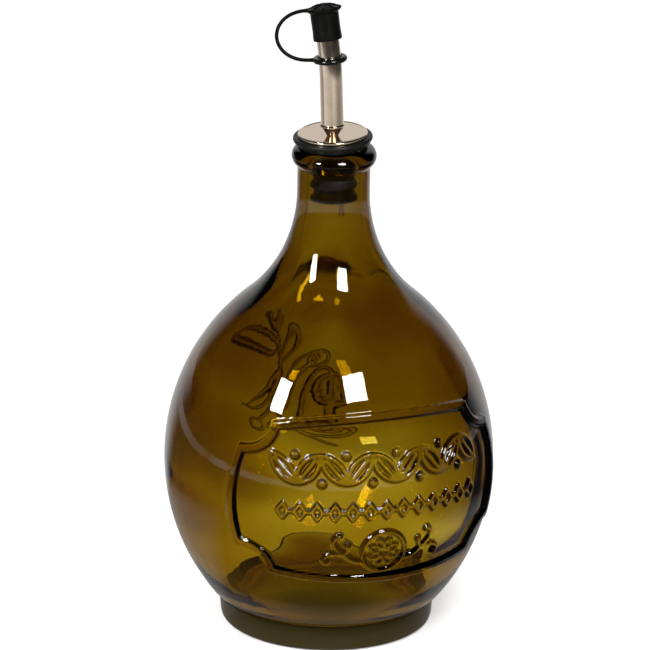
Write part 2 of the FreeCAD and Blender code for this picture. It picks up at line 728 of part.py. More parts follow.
def cap_skirt():
    """The cap: a skirt over the spout's tip, a thin flange, a low dome and a button."""
    roof = "cap_cover + part_gap"
    corners = [
        (CAP_INNER, "0"),
        (CAP_OUTER, "0"),
        (CAP_OUTER, "cap_length"),
        (CAP_FLANGE, "cap_length"),
        (CAP_FLANGE, cap_top()),
        ("button_radius", cap_top(" + cap_dome")),
        ("button_radius", cap_top(" + cap_dome + button_height")),
        ("0", cap_top(" + cap_dome + button_height")),
        ("0", roof),
        (CAP_INNER, roof),
    ]
    body = turned("cap_body", corners)
    rib = polygon(
        body,
        "rib_profile",
        [
            ("button_radius / 2", cap_top()),
            (f"{CAP_FLANGE} + rib_size / 2", f"{cap_top()} - cap_flange_thickness / 2"),
            (f"{CAP_FLANGE} + rib_size / 2", cap_top()),
            ("button_radius / 2", cap_top(" + cap_dome + rib_size / 2")),
        ],
    )
    pad = body.newObject("PartDesign::Pad", "rib")
    pad.Profile = rib
    pad.SideType = "Symmetric"
    pad.setExpression("Length", cells("rib_size"))
    rib.Visibility = False
    pattern = body.newObject("PartDesign::PolarPattern", "ribs")
    pattern.Originals = [pad]
    pattern.Axis = (origin_item(body, "Z_Axis"), [""])
    pattern.Angle = 360
    pattern.setExpression("Occurrences", cells("cap_ribs"))
    body.Tip = pattern
    return placed(body, CAP)


def spout_ring():
    """The ring round the spout that the strap ends in."""
    ring = doc.addObject("Part::Torus", "spout_ring")
    ring.setExpression("Radius1", cells("spout_radius + cap_gap + ring_round"))
    ring.setExpression("Radius2", cells("ring_round"))
    return placed(ring, RING)


def quarter_oval(reach, rise):
    """Two tangent arcs from (0, 0) heading sideways to (reach, rise) heading up, as centres and radii."""
    tight = 1.1 * rise**2 / reach
    wide = (reach**2 + rise**2 - 2 * reach * tight) / (2 * (rise - tight))
    wide_centre = (0, wide)
    tight_centre = (reach - tight, rise)
    joint = between(wide_centre, tight_centre, wide / math.dist(wide_centre, tight_centre))
    return wide_centre, wide, joint, tight_centre, tight


def strap(cap, ring):
    """The strap: out of the ring, round one wide loop and into the cap's flange, all in one plane."""
    root = size("spout_radius") + size("cap_gap") + size("ring_round")
    start = ring.Placement.multVec(Vector(-root, 0, 0))
    flange = size("cap_length") + size("cap_flange_thickness") / 2
    end = cap.Placement.multVec(Vector(size("strap_round") - value(CAP_FLANGE), 0, flange))
    across = rubber_stopper.Placement.Rotation.multVec(Vector(-1, 0, 0))
    up = end - start
    up = up - across * up.dot(across)
    rise = up.Length / 2
    up.normalize()
    lead = (end - start).dot(across)
    reach = size("strap_reach") - root
    straight = size("strap_straight")

    def at(pair):
        return start + across * pair[0] + up * pair[1]

    def oval(offset, width, sign, base):
        """The edges of one quarter, from its flat end to its far side."""
        wide_centre, wide, joint, tight_centre, tight = quarter_oval(width, rise)
        edges = []
        for centre, radius, first, last in (
            (wide_centre, wide, (0, 0), joint),
            (tight_centre, tight, joint, (width, rise)),
        ):
            middle = between(first, last, 0.5)
            gap = math.dist(centre, middle)
            crown = between(centre, middle, radius / gap)
            spots = [(offset + spot[0], base + sign * spot[1]) for spot in (first, crown, last)]
            edges.append(Part.Arc(*[at(spot) for spot in spots]).toShape())
        return edges

    lower = oval(straight, reach - straight, 1, 0)
    upper = oval(lead, reach - lead, -1, 2 * rise)
    line = Part.LineSegment(start, at((straight, 0))).toShape()
    wire = Part.Wire([line] + lower + upper[::-1])
    section = Part.Wire(Part.makeCircle(size("strap_round"), start, across))
    item = doc.addObject("Part::Feature", "strap")
    item.Shape = wire.makePipeShell([section], True, False)
    return item


cap_body = cap_skirt()
ring_body = spout_ring()
doc.recompute()
rubber_cap = fused("rubber_cap", [cap_body, ring_body, strap(cap_body, ring_body)])

# --- checks and files ------------------------------------------------------------------------------

doc.recompute()
NODES = [glass_bottle, rubber_stopper, metal_plate, spout_body, vent_body, rubber_cap]

for item in doc.Objects:
    if "Invalid" in item.State or "Error" in item.State:
        raise RuntimeError(f"{item.Name} did not build: {item.State}")
for item in NODES:
    if item.Shape.isNull() or not item.Shape.isValid() or len(item.Shape.Solids) != 1:
        raise RuntimeError(f"{item.Label} is not one sound solid")

os.makedirs("parts", exist_ok=True)
for item in NODES:
    item.Shape.exportStep(f"parts/{item.Label}.step")
    print(item.Label, round(item.Shape.Volume / 1000, 2), "cubic centimetres")
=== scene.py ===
"""Looks of a glass oil cruet: an olive-brown bottle with a raised label panel and a tethered-cap pourer."""

import math

import bpy
import numpy as np
from bpy.props import FloatProperty, FloatVectorProperty, PointerProperty
from mathutils import Matrix, Vector


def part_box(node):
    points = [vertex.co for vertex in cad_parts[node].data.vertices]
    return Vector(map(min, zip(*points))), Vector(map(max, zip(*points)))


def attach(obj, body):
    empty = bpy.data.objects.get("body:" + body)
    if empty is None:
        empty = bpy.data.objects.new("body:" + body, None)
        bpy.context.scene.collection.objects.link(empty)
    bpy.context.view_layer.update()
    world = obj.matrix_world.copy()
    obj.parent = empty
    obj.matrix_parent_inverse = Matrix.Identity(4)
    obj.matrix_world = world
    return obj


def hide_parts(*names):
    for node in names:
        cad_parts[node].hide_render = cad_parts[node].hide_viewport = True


bl_info = {
    "name": "Glass oil cruet",
    "version": (1, 0, 0),
    "blender": (4, 5, 0),
    "location": "3D View > Sidebar > Cruet",
    "description": "Builds the looks of a glass oil cruet round its packed solids",
    "category": "Object",
}

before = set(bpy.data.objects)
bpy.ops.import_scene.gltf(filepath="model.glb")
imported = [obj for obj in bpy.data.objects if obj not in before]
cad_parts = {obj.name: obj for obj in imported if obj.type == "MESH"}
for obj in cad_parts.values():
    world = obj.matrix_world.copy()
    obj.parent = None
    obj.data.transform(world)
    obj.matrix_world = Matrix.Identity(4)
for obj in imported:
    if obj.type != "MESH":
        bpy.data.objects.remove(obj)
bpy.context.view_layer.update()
GLASS_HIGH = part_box("glass_bottle")[1]
MM = 0.001


# --- values a user would change -----------------------------------------------------------------------


def length(name, description, default):
    """A length property, in metres."""
    return FloatProperty(
        name=name, description=description, default=default, min=0.0, unit="LENGTH", precision=5
    )


def rotation(name, description, degrees):
    """An angle property, given here in degrees."""
    return FloatProperty(name=name, description=description, default=math.radians(degrees), unit="ROTATION")


def amount(name, description, default):
    """A plain number from 0 up."""
    return FloatProperty(name=name, description=description, default=default, min=0.0)


def colour(name, description, default):
    """A colour property, in linear values."""
    return FloatVectorProperty(
        name=name, description=description, default=default, min=0.0, max=1.0, size=3, subtype="COLOR"
    )


class CruetGlass(bpy.types.PropertyGroup):
    """Sizes and tint of the bottle."""

    belly_radius: length("Belly radius", "Radius of the bottle at its widest", GLASS_HIGH.x)
    lip_height: length("Lip height", "Height of the top of the bead", GLASS_HIGH.z)
    belly_height: length("Belly height", "Height of the widest ring", 0.0692)
    bowl_arc: length("Bowl arc", "Radius of the curves below and above the widest ring", 0.088)
    flare_arc: length("Flare arc", "Radius of the hollow curve into the neck", 0.060)
    neck_radius: length("Neck radius", "Outside radius of the neck", 0.0146)
    bore_radius: length("Bore radius", "Inside radius of the neck", 0.0100)
    bead_round: length("Bead round", "Radius of the bead's round section", 0.0042)
    bead_radius: length("Bead radius", "Radius of the bead at its widest", 0.01705)
    foot_radius: length("Foot radius", "Radius of the foot below the crease", 0.0432)
    wall: length("Wall", "Thickness of the glass", 0.0046)
    panel_thinning: length("Panel thinning", "How much thinner the glass is behind the label", 0.0016)
    side_thickening: length("Side thickening", "How much thicker the glass is away from the label", 0.0010)
    wander: length("Wander", "Height of the slow waves inside the bottle", 0.0006)
    frame_height: length("Frame ridge height", "Height of the label's frame", 0.0017)
    line_height: length("Line height", "Height of the thinner raised lines", 0.0014)
    ripple: amount("Ripple", "Strength of the cast surface's waves", 0.08)
    tint: colour("Tint", "Colour that light takes in the glass", (0.880, 0.818, 0.32))
    # Painted shade: a dark tone mixed into the glass's colour on the steep sides of the relief.
    painted_edge_shade: colour("Edge tint", "Tone of the steep sides of raised lines", (0.14, 0.06, 0.015))
    # A dull olive diffuse layer over the foot's outside, which covers the dark shapes in the glass there.
    foot_veil: colour("Foot veil", "Colour of the dull, worn glass of the foot", (0.060, 0.046, 0.011))
    tint_density: amount("Tint density", "How fast light is taken in", 1000.0)


class CruetPourer(bpy.types.PropertyGroup):
    """Sizes and colours of the stopper, plate, spout, vent tube, cap and strap."""

    turn: rotation("Turn", "Turn of the pourer about the bottle's axis", -20.3)
    lean: rotation("Lean", "Lean of the pourer to its side", 2.4)
    shift: length("Shift", "Sideways place of the pourer on the lip", 0.00055)
    flange_radius: length("Flange radius", "Radius of the stopper's flange", 0.0160)
    flange_thickness: length("Flange thickness", "Thickness of the stopper's flange", 0.0036)
    plug_length: length("Plug length", "Length of the plug below the flange", 0.0228)
    plug_radius: length("Plug radius", "Radius of the plug between its fins", 0.0082)
    fin_radius: length("Fin radius", "Radius of the plug's fins", 0.0093)
    plate_radius: length("Plate radius", "Radius of the metal plate", 0.0140)
    plate_thickness: length("Plate thickness", "Thickness of the metal plate", 0.0014)
    spout_offset: length("Spout offset", "Distance of the spout from the pourer's axis", 0.0046)
    spout_radius: length("Spout radius", "Radius of the spout's tube", 0.00455)
    bend_angle: rotation("Bend", "Bend near the spout's end", 10.4)
    strap_radius: length("Strap radius", "Radius of the cap's strap", 0.00075)
    # The steel colour is the metal's own tint, warmed by a painted reflection of warm surroundings.
    steel: colour("Steel", "Colour of the polished metal", (0.86, 0.70, 0.54))
    rubber: colour("Rubber", "Colour of the stopper's rubber", (0.0052, 0.0050, 0.0040))
    cap_rubber: colour("Cap rubber", "Colour of the cap's rubber", (0.0026, 0.0025, 0.0020))


class CruetStage(bpy.types.PropertyGroup):
    """Floor, lamps and camera."""

    backdrop_turn: rotation("Backdrop turn", "Turn to the right of the pale backdrop's middle", 2.0)
    elevation: rotation("Elevation", "Height angle of the camera", 20.3)
    azimuth: rotation("Azimuth", "Turn of the camera from the front, towards the left", 20.3)
    roll: rotation("Roll", "Roll of the camera", 1.03)
    distance: length("Distance", "Distance of the camera", 4.5)
    focal: amount("Focal length", "Lens of the camera in millimetres", 620.6)
    look_height: length("Look height", "Height of the point that the camera is set by", 0.110)
    lamp_distance: length("Lamp distance", "Distance of the softboxes from the bottle", 0.42)
    lamp_power: amount("Lamp power", "Power of each softbox in watts", 1.6)
    floor: colour("Floor", "Colour of the floor", (0.86, 0.86, 0.86))


# --- meshes ------------------------------------------------------------------------------------------


def place_mesh(name, points, quads=None, triangles=None, smooth=True):
    """A new mesh object from arrays of points in millimetres, four-sided faces and triangles."""
    groups = [faces for faces in (quads, triangles) if faces is not None and len(faces)]
    loops = np.concatenate([faces.ravel() for faces in groups]).astype(np.int32)
    sizes = np.concatenate([np.full(len(faces), faces.shape[1]) for faces in groups]).astype(np.int32)
    starts = np.concatenate([[0], np.cumsum(sizes)[:-1]]).astype(np.int32)
    mesh = bpy.data.meshes.new(name)
    mesh.vertices.add(len(points))
    mesh.vertices.foreach_set("co", (np.asarray(points) * MM).astype(np.float32).ravel())
    mesh.loops.add(len(loops))
    mesh.loops.foreach_set("vertex_index", loops)
    mesh.polygons.add(len(sizes))
    mesh.polygons.foreach_set("loop_start", starts)
    mesh.polygons.foreach_set("use_smooth", np.full(len(sizes), smooth))
    mesh.update(calc_edges=True)
    if mesh.validate():
        raise RuntimeError(f"{name} has faces that do not hold together")
    piece = bpy.data.objects.new(name, mesh)
    bpy.context.scene.collection.objects.link(piece)
    return piece


def grid_faces(rows, columns, first=0):
    """Four-sided faces of a grid whose columns close on themselves; faces look to the columns' left."""
    row, column = np.meshgrid(np.arange(rows - 1), np.arange(columns), indexing="ij")
    low = first + row * columns + column
    near = first + row * columns + (column + 1) % columns
    return np.stack([low, near, near + columns, low + columns], axis=-1).reshape(-1, 4)


def end_fans(columns, total):
    """Triangles from the first and the last ring to two poles, the points that follow the rings' total."""
    ring = np.arange(columns)
    after = (ring + 1) % columns
    last = total - columns
    low = np.stack([np.full(columns, total), after, ring], axis=-1)
    high = np.stack([np.full(columns, total + 1), last + ring, last + after], axis=-1)
    return np.vstack([low, high])


def closed_grid(points):
    """Points and faces of rings (rows, columns, 3), with a pole in the middle of the first and last ring."""
    rows, columns, _ = points.shape
    poles = [points[0].mean(axis=0), points[-1].mean(axis=0)]
    fans = end_fans(columns, rows * columns)
    return np.vstack([points.reshape(-1, 3), poles]), grid_faces(rows, columns), fans


def torus_grid(points):
    """Points and faces of rings (rows, columns, 3) of which the last is joined to the first."""
    rows, columns, _ = points.shape
    return points.reshape(-1, 3), grid_faces(rows + 1, columns) % (rows * columns)


def turned(profile, turn):
    """Rings of a profile of (radius, height), at turns from the front in radians, which run to the right.

    x = radius * sin(turn), y = -radius * cos(turn), z = height.
    """
    radius = profile[:, 0][:, None]
    height = np.broadcast_to(profile[:, 1][:, None], (len(profile), len(turn)))
    return np.stack([radius * np.sin(turn), -radius * np.cos(turn), height], axis=-1)


def lathe(profile, columns):
    """A profile of (radius, height) turned all the way about Z in even steps."""
    return turned(profile, np.linspace(0, 2 * math.pi, columns, endpoint=False))


def upright(radius, heights):
    """Points of a profile at one radius and some heights."""
    return np.stack([np.full(len(heights), radius), heights], axis=-1)


def arc(centre, radius, start, end, steps, skip=0):
    """Points centre + radius * (cos(angle), sin(angle)), angles in degrees, the first few left out."""
    angle = np.radians(np.linspace(start, end, steps + 1))[skip:]
    return np.stack([centre[0] + radius * np.cos(angle), centre[1] + radius * np.sin(angle)], axis=-1)


def rounded(corners, steps=6):
    """A profile through corners given as (radius, height) or (radius, height, rounding).

    A rounding is the radius of an arc that touches both sides of its corner.
    """
    points = []
    for index, corner in enumerate(corners):
        here = np.array(corner[:2], float)
        rounding = corner[2] if len(corner) > 2 else 0.0
        if rounding <= 0 or index in (0, len(corners) - 1):
            points.append(here[None])
            continue
        before = np.array(corners[index - 1][:2], float) - here
        after = np.array(corners[index + 1][:2], float) - here
        before /= np.linalg.norm(before)
        after /= np.linalg.norm(after)
        half = math.acos(max(-1.0, min(1.0, float(before @ after)))) / 2
        reach = rounding / math.tan(half)
        share = np.linspace(0, 1, steps + 1)[:, None]
        start, end = here + before * reach, here + after * reach
        middle = here + (before + after) / np.linalg.norm(before + after) * rounding / math.sin(half)
        chord = start + (end - start) * share - middle
        points.append(middle + chord / np.linalg.norm(chord, axis=1, keepdims=True) * rounding)
    return np.vstack(points)


def smooth_path(points, steps=12):
    """A smooth line through points: spans of a cubic whose slope at a point is half its neighbours' chord."""
    points = np.asarray(points, float)
    ends = np.vstack([2 * points[0] - points[1], points, 2 * points[-1] - points[-2]])
    before, start, end, after = ends[:-3], ends[1:-2], ends[2:-1], ends[3:]
    share = np.linspace(0, 1, steps, endpoint=False)[None, :, None]
    before, start, end, after = (item[:, None, :] for item in (before, start, end, after))
    cubic = 0.5 * (
        2 * start
        + (end - before) * share
        + (2 * before - 5 * start + 4 * end - after) * share**2
        + (3 * start - before - 3 * end + after) * share**3
    )
    return np.vstack([cubic.reshape(-1, points.shape[1]), points[-1:]])


def tube(path, radius, columns, side):
    """Rings about a path: each is radius times cos and sin of the angle along two axes square to the path."""
    path = np.asarray(path, float)
    along = np.gradient(path, axis=0)
    along /= np.linalg.norm(along, axis=1, keepdims=True)
    first = np.cross(along, np.asarray(side, float))
    first /= np.linalg.norm(first, axis=1, keepdims=True)
    second = np.cross(along, first)
    angle = np.linspace(0, 2 * math.pi, columns, endpoint=False)
    radius = np.broadcast_to(np.asarray(radius, float).reshape(-1, 1, 1), (len(path), 1, 1))
    ring = np.cos(angle)[None, :, None] * first[:, None] + np.sin(angle)[None, :, None] * second[:, None]
    return path[:, None] + radius * ring


def carried(matrix, points):
    """Points moved by a 4 by 4 matrix."""
    grid = np.asarray(matrix)
    return points @ grid[:3, :3].T + grid[:3, 3]


def finish_piece(piece, material, slot, *nodes):
    """Gives a piece its material, hangs it from the root body and hides the solids that it stands for."""
    piece.data.materials.append(material)
    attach(piece, "root")
    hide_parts(*nodes)


# --- shader nodes ------------------------------------------------------------------------------------


class Wire:
    """A socket's value; sums written with it add Math nodes."""

    def __init__(self, finish, socket):
        self.finish = finish
        self.socket = socket

    def math(self, operation, *values):
        return self.finish.node("ShaderNodeMath", {"operation": operation}, dict(enumerate(values)))

    def __add__(self, other):
        return self.math("ADD", self, other)

    def __radd__(self, other):
        return self.math("ADD", other, self)

    def __sub__(self, other):
        return self.math("SUBTRACT", self, other)

    def __rsub__(self, other):
        return self.math("SUBTRACT", other, self)

    def __mul__(self, other):
        return self.math("MULTIPLY", self, other)

    def __rmul__(self, other):
        return self.math("MULTIPLY", other, self)

    def larger(self, other):
        return self.math("MAXIMUM", self, other)

    def clamp(self):
        return self.finish.node("ShaderNodeClamp", {}, {"Value": self})

    def rising(self, low, high, start=0.0, end=1.0):
        """Goes smoothly from start to end while the value goes from low to high."""
        sockets = {"Value": self, 1: low, 2: high, 3: start, 4: end}
        return self.finish.node("ShaderNodeMapRange", {"interpolation_type": "SMOOTHSTEP"}, sockets)


class Finish:
    """The nodes of one material or world."""

    def __init__(self, tree):
        self.tree = tree
        tree.nodes.clear()

    def node(self, kind, settings=None, sockets=None, output=0):
        """Adds a node, sets it, then fills or links its sockets; gives the output that is asked for."""
        node = self.tree.nodes.new(kind)
        for key, value in (settings or {}).items():
            if key == "stops":
                self.set_stops(node.color_ramp, value)
            else:
                setattr(node, key, value)
        for key, value in (sockets or {}).items():
            if isinstance(value, Wire):
                self.tree.links.new(value.socket, node.inputs[key])
            else:
                node.inputs[key].default_value = value
        return Wire(self, node.outputs[output]) if node.outputs else None

    @staticmethod
    def set_stops(ramp, stops):
        """Gives a ramp its stops, each a place and a grey tone."""
        while len(ramp.elements) < len(stops):
            ramp.elements.new(1.0)
        for element, (place, tone) in zip(ramp.elements, stops):
            element.position = place
            element.color = (tone, tone, tone, 1.0)

    def vector(self, operation, *values, output="Vector"):
        return self.node("ShaderNodeVectorMath", {"operation": operation}, dict(enumerate(values)), output)

    def place(self):
        return self.node("ShaderNodeTexCoord", output="Object")

    def noise(self, vector, scale, detail=2.0, roughness=0.5):
        sockets = {"Vector": vector, "Scale": scale, "Detail": detail, "Roughness": roughness}
        return self.node("ShaderNodeTexNoise", {"noise_dimensions": "3D"}, sockets, output="Fac")

    def mix(self, factor, first, second):
        """A colour between two colours."""
        return self.node("ShaderNodeMix", {"data_type": "RGBA"}, {0: factor, 6: first, 7: second}, output=2)

    def bump(self, height, strength, distance):
        return self.node("ShaderNodeBump", {}, {"Height": height, "Strength": strength, "Distance": distance})

    def ray(self, kind):
        """1 for a ray of this kind and 0 for others."""
        return self.node("ShaderNodeLightPath", output=f"Is {kind} Ray")

    def clear_and_mirror(self):
        """Whether a ray came through clear glass, and whether a surface threw it back."""
        clear = self.ray("Transmission")
        return clear, (self.ray("Glossy") - clear).clamp()


WHITE = (1.0, 1.0, 1.0, 1.0)


def rgba(tone, share=1.0):
    """A share of a tone, as an opaque colour."""
    return (*(part * share for part in tone), 1.0)


def new_finish(name):
    """A new material and its empty nodes."""
    material = bpy.data.materials.new(name)
    material.use_nodes = True
    return material, Finish(material.node_tree)


def olive_glass(glass):
    """Clear glass that takes in light on its way through, with the slow waves and pimples of casting.

    The underside is ground dull, a dull olive diffuse layer covers the foot's outside, and painted shade
    darkens the steep sides of the relief.
    """
    material, finish = new_finish("olive_glass")
    waves = finish.noise(finish.place(), 38.0, 1.0)
    pimples = finish.noise(finish.place(), 210.0, 1.0)
    place = finish.place()
    across = finish.vector("LENGTH", finish.vector("MULTIPLY", place, (1.0, 1.0, 0.0)), output="Value")
    height = finish.node("ShaderNodeSeparateXYZ", {}, {"Vector": place}, output="Z")
    # The underside lies below 4 mm and within 41 mm of the axis.
    underside = height.rising(0.0034, 0.0044, 1.0, 0.0) * across.rising(0.0405, 0.0415, 1.0, 0.0)
    # Painted shade: the relief's steepness mixes a dark tone into the glass's colour.
    edge = finish.node("ShaderNodeAttribute", {"attribute_name": "edge"}, output="Fac")
    surface = finish.node(
        "ShaderNodeBsdfPrincipled",
        {},
        {
            "Base Color": finish.mix(edge, WHITE, rgba(glass.painted_edge_shade)),
            "Roughness": 0.55 * underside,
            "IOR": 1.5,
            "Transmission Weight": 1.0,
            "Normal": finish.bump(waves + 0.12 * pimples, glass.ripple, 0.002),
        },
    )
    inside = {"Color": rgba(glass.tint), "Density": glass.tint_density}
    volume = finish.node("ShaderNodeVolumeAbsorption", {}, inside)
    # A dull olive diffuse layer on the foot's outside, which covers the dark shapes in the glass there.
    veiled = finish.node("ShaderNodeBsdfDiffuse", {}, {"Color": rgba(glass.foot_veil)})
    # The foot's outside lies past a cone about the axis, and the veil ends below the crease.
    outer = (across - 0.45 * height).rising(0.0365, 0.0380)
    veil = height.rising(0.010, 0.0125, 0.36, 0.0) * outer
    both = finish.node("ShaderNodeMixShader", {}, {0: veil, 1: surface, 2: veiled})
    finish.node("ShaderNodeOutputMaterial", {}, {"Surface": both, "Volume": volume})
    return material


def black_rubber(name, tone, gloss, sheen):
    """Moulded black rubber: a fine grain, a little dust and an uneven sheen."""
    material, finish = new_finish(name)
    grain = finish.noise(finish.place(), 2600.0, 3.0)
    dust = finish.noise(finish.place(), 190.0, 4.0, 0.65)
    surface = finish.node(
        "ShaderNodeBsdfPrincipled",
        {},
        {
            "Base Color": finish.mix(dust, rgba(tone, 0.55), rgba(tone, 1.6)),
            "Roughness": gloss + 0.16 * dust,
            "Specular IOR Level": sheen,
            "Normal": finish.bump(grain, 0.2, 0.0002),
        },
    )
    finish.node("ShaderNodeOutputMaterial", {}, {"Surface": surface})
    return material


def polished_steel(pourer, name, scale):
    """Polished steel with fine lines left by the wheel; the scale stretches them along the piece."""
    material, finish = new_finish(name)
    sockets = {"Vector": finish.place(), "Scale": scale}
    stretched = finish.node("ShaderNodeMapping", {"vector_type": "POINT"}, sockets)
    lines = finish.noise(stretched, 1.0, 3.0, 0.6)
    smudges = finish.noise(finish.place(), 260.0, 2.0)
    surface = finish.node(
        "ShaderNodeBsdfPrincipled",
        {},
        {
            # Base colour: the steel tint with its painted warm reflection, varied by the wheel's lines.
            "Base Color": finish.mix(lines, rgba(pourer.steel, 0.94), rgba(pourer.steel, 1.04)),
            "Metallic": 1.0,
            "Roughness": 0.10 + 0.10 * smudges,
            "Normal": finish.bump(lines, 0.12, 0.0001),
        },
    )
    finish.node("ShaderNodeOutputMaterial", {}, {"Surface": surface})
    return material


# --- bottle ------------------------------------------------------------------------------------------


def circle_angle(centre, point):
    """Angle of a point about a centre, in degrees."""
    return math.degrees(math.atan2(point[1] - centre[1], point[0] - centre[0]))


# Height of the push-up, heights between which the fine rows lie (millimetres), and turns up to which and
# past which the fine columns lie (degrees from the front).
PUSH_UP = 3.2
PANEL_LOW, PANEL_HIGH, PANEL_ROWS = 35.5, 112.5, 154
FINE_FRONT, FINE_BACK = 57.0, 142.0


class BottleForm:
    """The bottle's section, in millimetres, from its property group."""

    def __init__(self, glass):
        heights = ("lip_height", "belly_height")
        radii = ("belly_radius", "bowl_arc", "flare_arc", "neck_radius", "bore_radius", "foot_radius")
        for key in (*heights, *radii, "bead_round", "bead_radius", "wall"):
            setattr(self, key, getattr(glass, key) / MM)
        self.middle = np.array([self.belly_radius - self.bowl_arc, self.belly_height])

    def flare(self, throat, hollow, bowl):
        """Centre of the hollow arc that touches the throat and the bowl's arc."""
        across = throat + hollow
        rise = math.sqrt((hollow + bowl) ** 2 - (across - self.middle[0]) ** 2)
        return np.array([across, self.middle[1] + rise])

    def radius_at(self, height):
        """Radius of the bowl at a height: middle + sqrt(arc^2 - (height - belly height)^2)."""
        return self.middle[0] + np.sqrt(self.bowl_arc**2 - (height - self.belly_height) ** 2)

    def climb(self, height):
        """Length along the bowl from the widest ring to a height."""
        return self.bowl_arc * np.arcsin((np.asarray(height) - self.belly_height) / self.bowl_arc)

    def outside_low(self):
        """From the middle of the underside, over the foot, to where the panel's fine rows start."""
        foot_round, taper, ring_width, heel_arc = 3.0, 0.6, 3.4, 10.0
        crease_inset, crease_height = 0.4, 11.2
        foot = self.foot_radius
        crease = np.array([foot - crease_inset, crease_height])
        rest = foot - taper - foot_round
        inner_rest = rest - ring_width
        dome = (inner_rest**2 + PUSH_UP**2) / (2 * PUSH_UP)
        dip = math.degrees(math.asin(inner_rest / dome))
        heel = self.heel_centre(crease, heel_arc)
        start = circle_angle(heel, crease)
        end = circle_angle(self.middle, heel)
        low = math.degrees(math.asin((PANEL_LOW - self.middle[1]) / self.bowl_arc))
        return np.vstack(
            [
                arc((0, PUSH_UP - dome), dome, 90 - dip * 0.02, 90 - dip, 14),
                arc((rest, foot_round), foot_round, -90, 0, 6),
                [crease + rise for rise in ((0.4, -1.4), (0.38, -0.8), (0.2, -0.25), (0, 0))],
                arc(heel, heel_arc, start, end, 5, 1),
                arc(self.middle, self.bowl_arc, end, low, 12, 1)[:-1],
            ]
        )

    def heel_centre(self, crease, heel_arc):
        """Centre of the small arc through the crease that touches the bowl's arc from inside."""
        reach = self.bowl_arc - heel_arc
        gap = self.middle - crease
        distance = math.hypot(*gap)
        along = (heel_arc**2 - reach**2 + distance**2) / (2 * distance)
        off = math.sqrt(heel_arc**2 - along**2)
        unit = gap / distance
        return crease + along * unit + off * np.array([unit[1], -unit[0]])

    def outside_high(self):
        """From the end of the panel's fine rows, up the shoulder and neck, over the bead, to the bore."""
        flare = self.flare(self.neck_radius, self.flare_arc, self.bowl_arc)
        turn = circle_angle(self.middle, flare)
        high = math.degrees(math.asin((PANEL_HIGH - self.middle[1]) / self.bowl_arc))
        bead = np.array([self.bead_radius - self.bead_round, self.lip_height - self.bead_round])
        fillet = 1.2
        across = self.neck_radius + fillet
        drop = math.sqrt((self.bead_round + fillet) ** 2 - (across - bead[0]) ** 2)
        fillet_centre = (across, bead[1] - drop)
        fillet_end = circle_angle(fillet_centre, bead)
        bead_start = circle_angle(bead, fillet_centre)
        bead_end = math.degrees(math.acos((self.bore_radius - bead[0]) / self.bead_round))
        neck = np.linspace(flare[1], fillet_centre[1], 7)[1:]
        return np.vstack(
            [
                arc(self.middle, self.bowl_arc, high, turn, 14, 1),
                arc(flare, self.flare_arc, turn + 180, 180, 22, 1),
                upright(self.neck_radius, neck),
                arc(fillet_centre, fillet, 180, fillet_end, 4, 1),
                arc(bead, self.bead_round, bead_start, bead_end, 16, 1),
            ]
        )

    def inside(self):
        """From the mouth down the bore, the shoulder and the bowl to the middle of the floor."""
        wall = self.wall
        bowl = self.bowl_arc - wall
        hollow = self.flare_arc + wall
        flare = self.flare(self.bore_radius, hollow, bowl)
        turn = circle_angle(self.middle, flare)
        floor, floor_round, easing = 6.6, 15.0, 14.0
        rise = floor + floor_round
        across = self.middle[0] + math.sqrt((bowl - floor_round) ** 2 - (rise - self.middle[1]) ** 2)
        low = circle_angle(self.middle, (across, rise))
        mouth = self.lip_height - self.bead_round
        flat = np.linspace(across, across * 0.03, 7)[1:]
        section = np.vstack(
            [
                upright(self.bore_radius, np.linspace(mouth, flare[1], 9)),
                arc(flare, hollow, 180, turn + 180, 18, 1),
                arc(self.middle, bowl, turn, low, 60, 1),
                arc((across, rise), floor_round, low, -90, 10, 1),
                np.stack([flat, np.full(len(flat), floor)], axis=-1),
            ]
        )
        return eased(section, easing)


def eased(section, stretch):
    """A profile with its bends eased: each point becomes the mean of the stretch around it.

    The stretch is measured along the profile, and is shorter near an end, where it reaches just to it.
    """
    gone = np.concatenate([[0.0], np.cumsum(np.linalg.norm(np.diff(section, axis=0), axis=1))])
    half = np.minimum(stretch / 2, np.minimum(gone, gone[-1] - gone))
    spots = gone[:, None] + half[:, None] * np.linspace(-1, 1, 25)[None]
    return np.stack([np.interp(spots, gone, section[:, axis]).mean(axis=1) for axis in (0, 1)], axis=-1)


def smooth_between(low, high, values):
    """0 at low and before it, 1 at high and past it, and smooth between."""
    share = np.clip((values - low) / (high - low), 0, 1)
    return share * share * (3 - 2 * share)


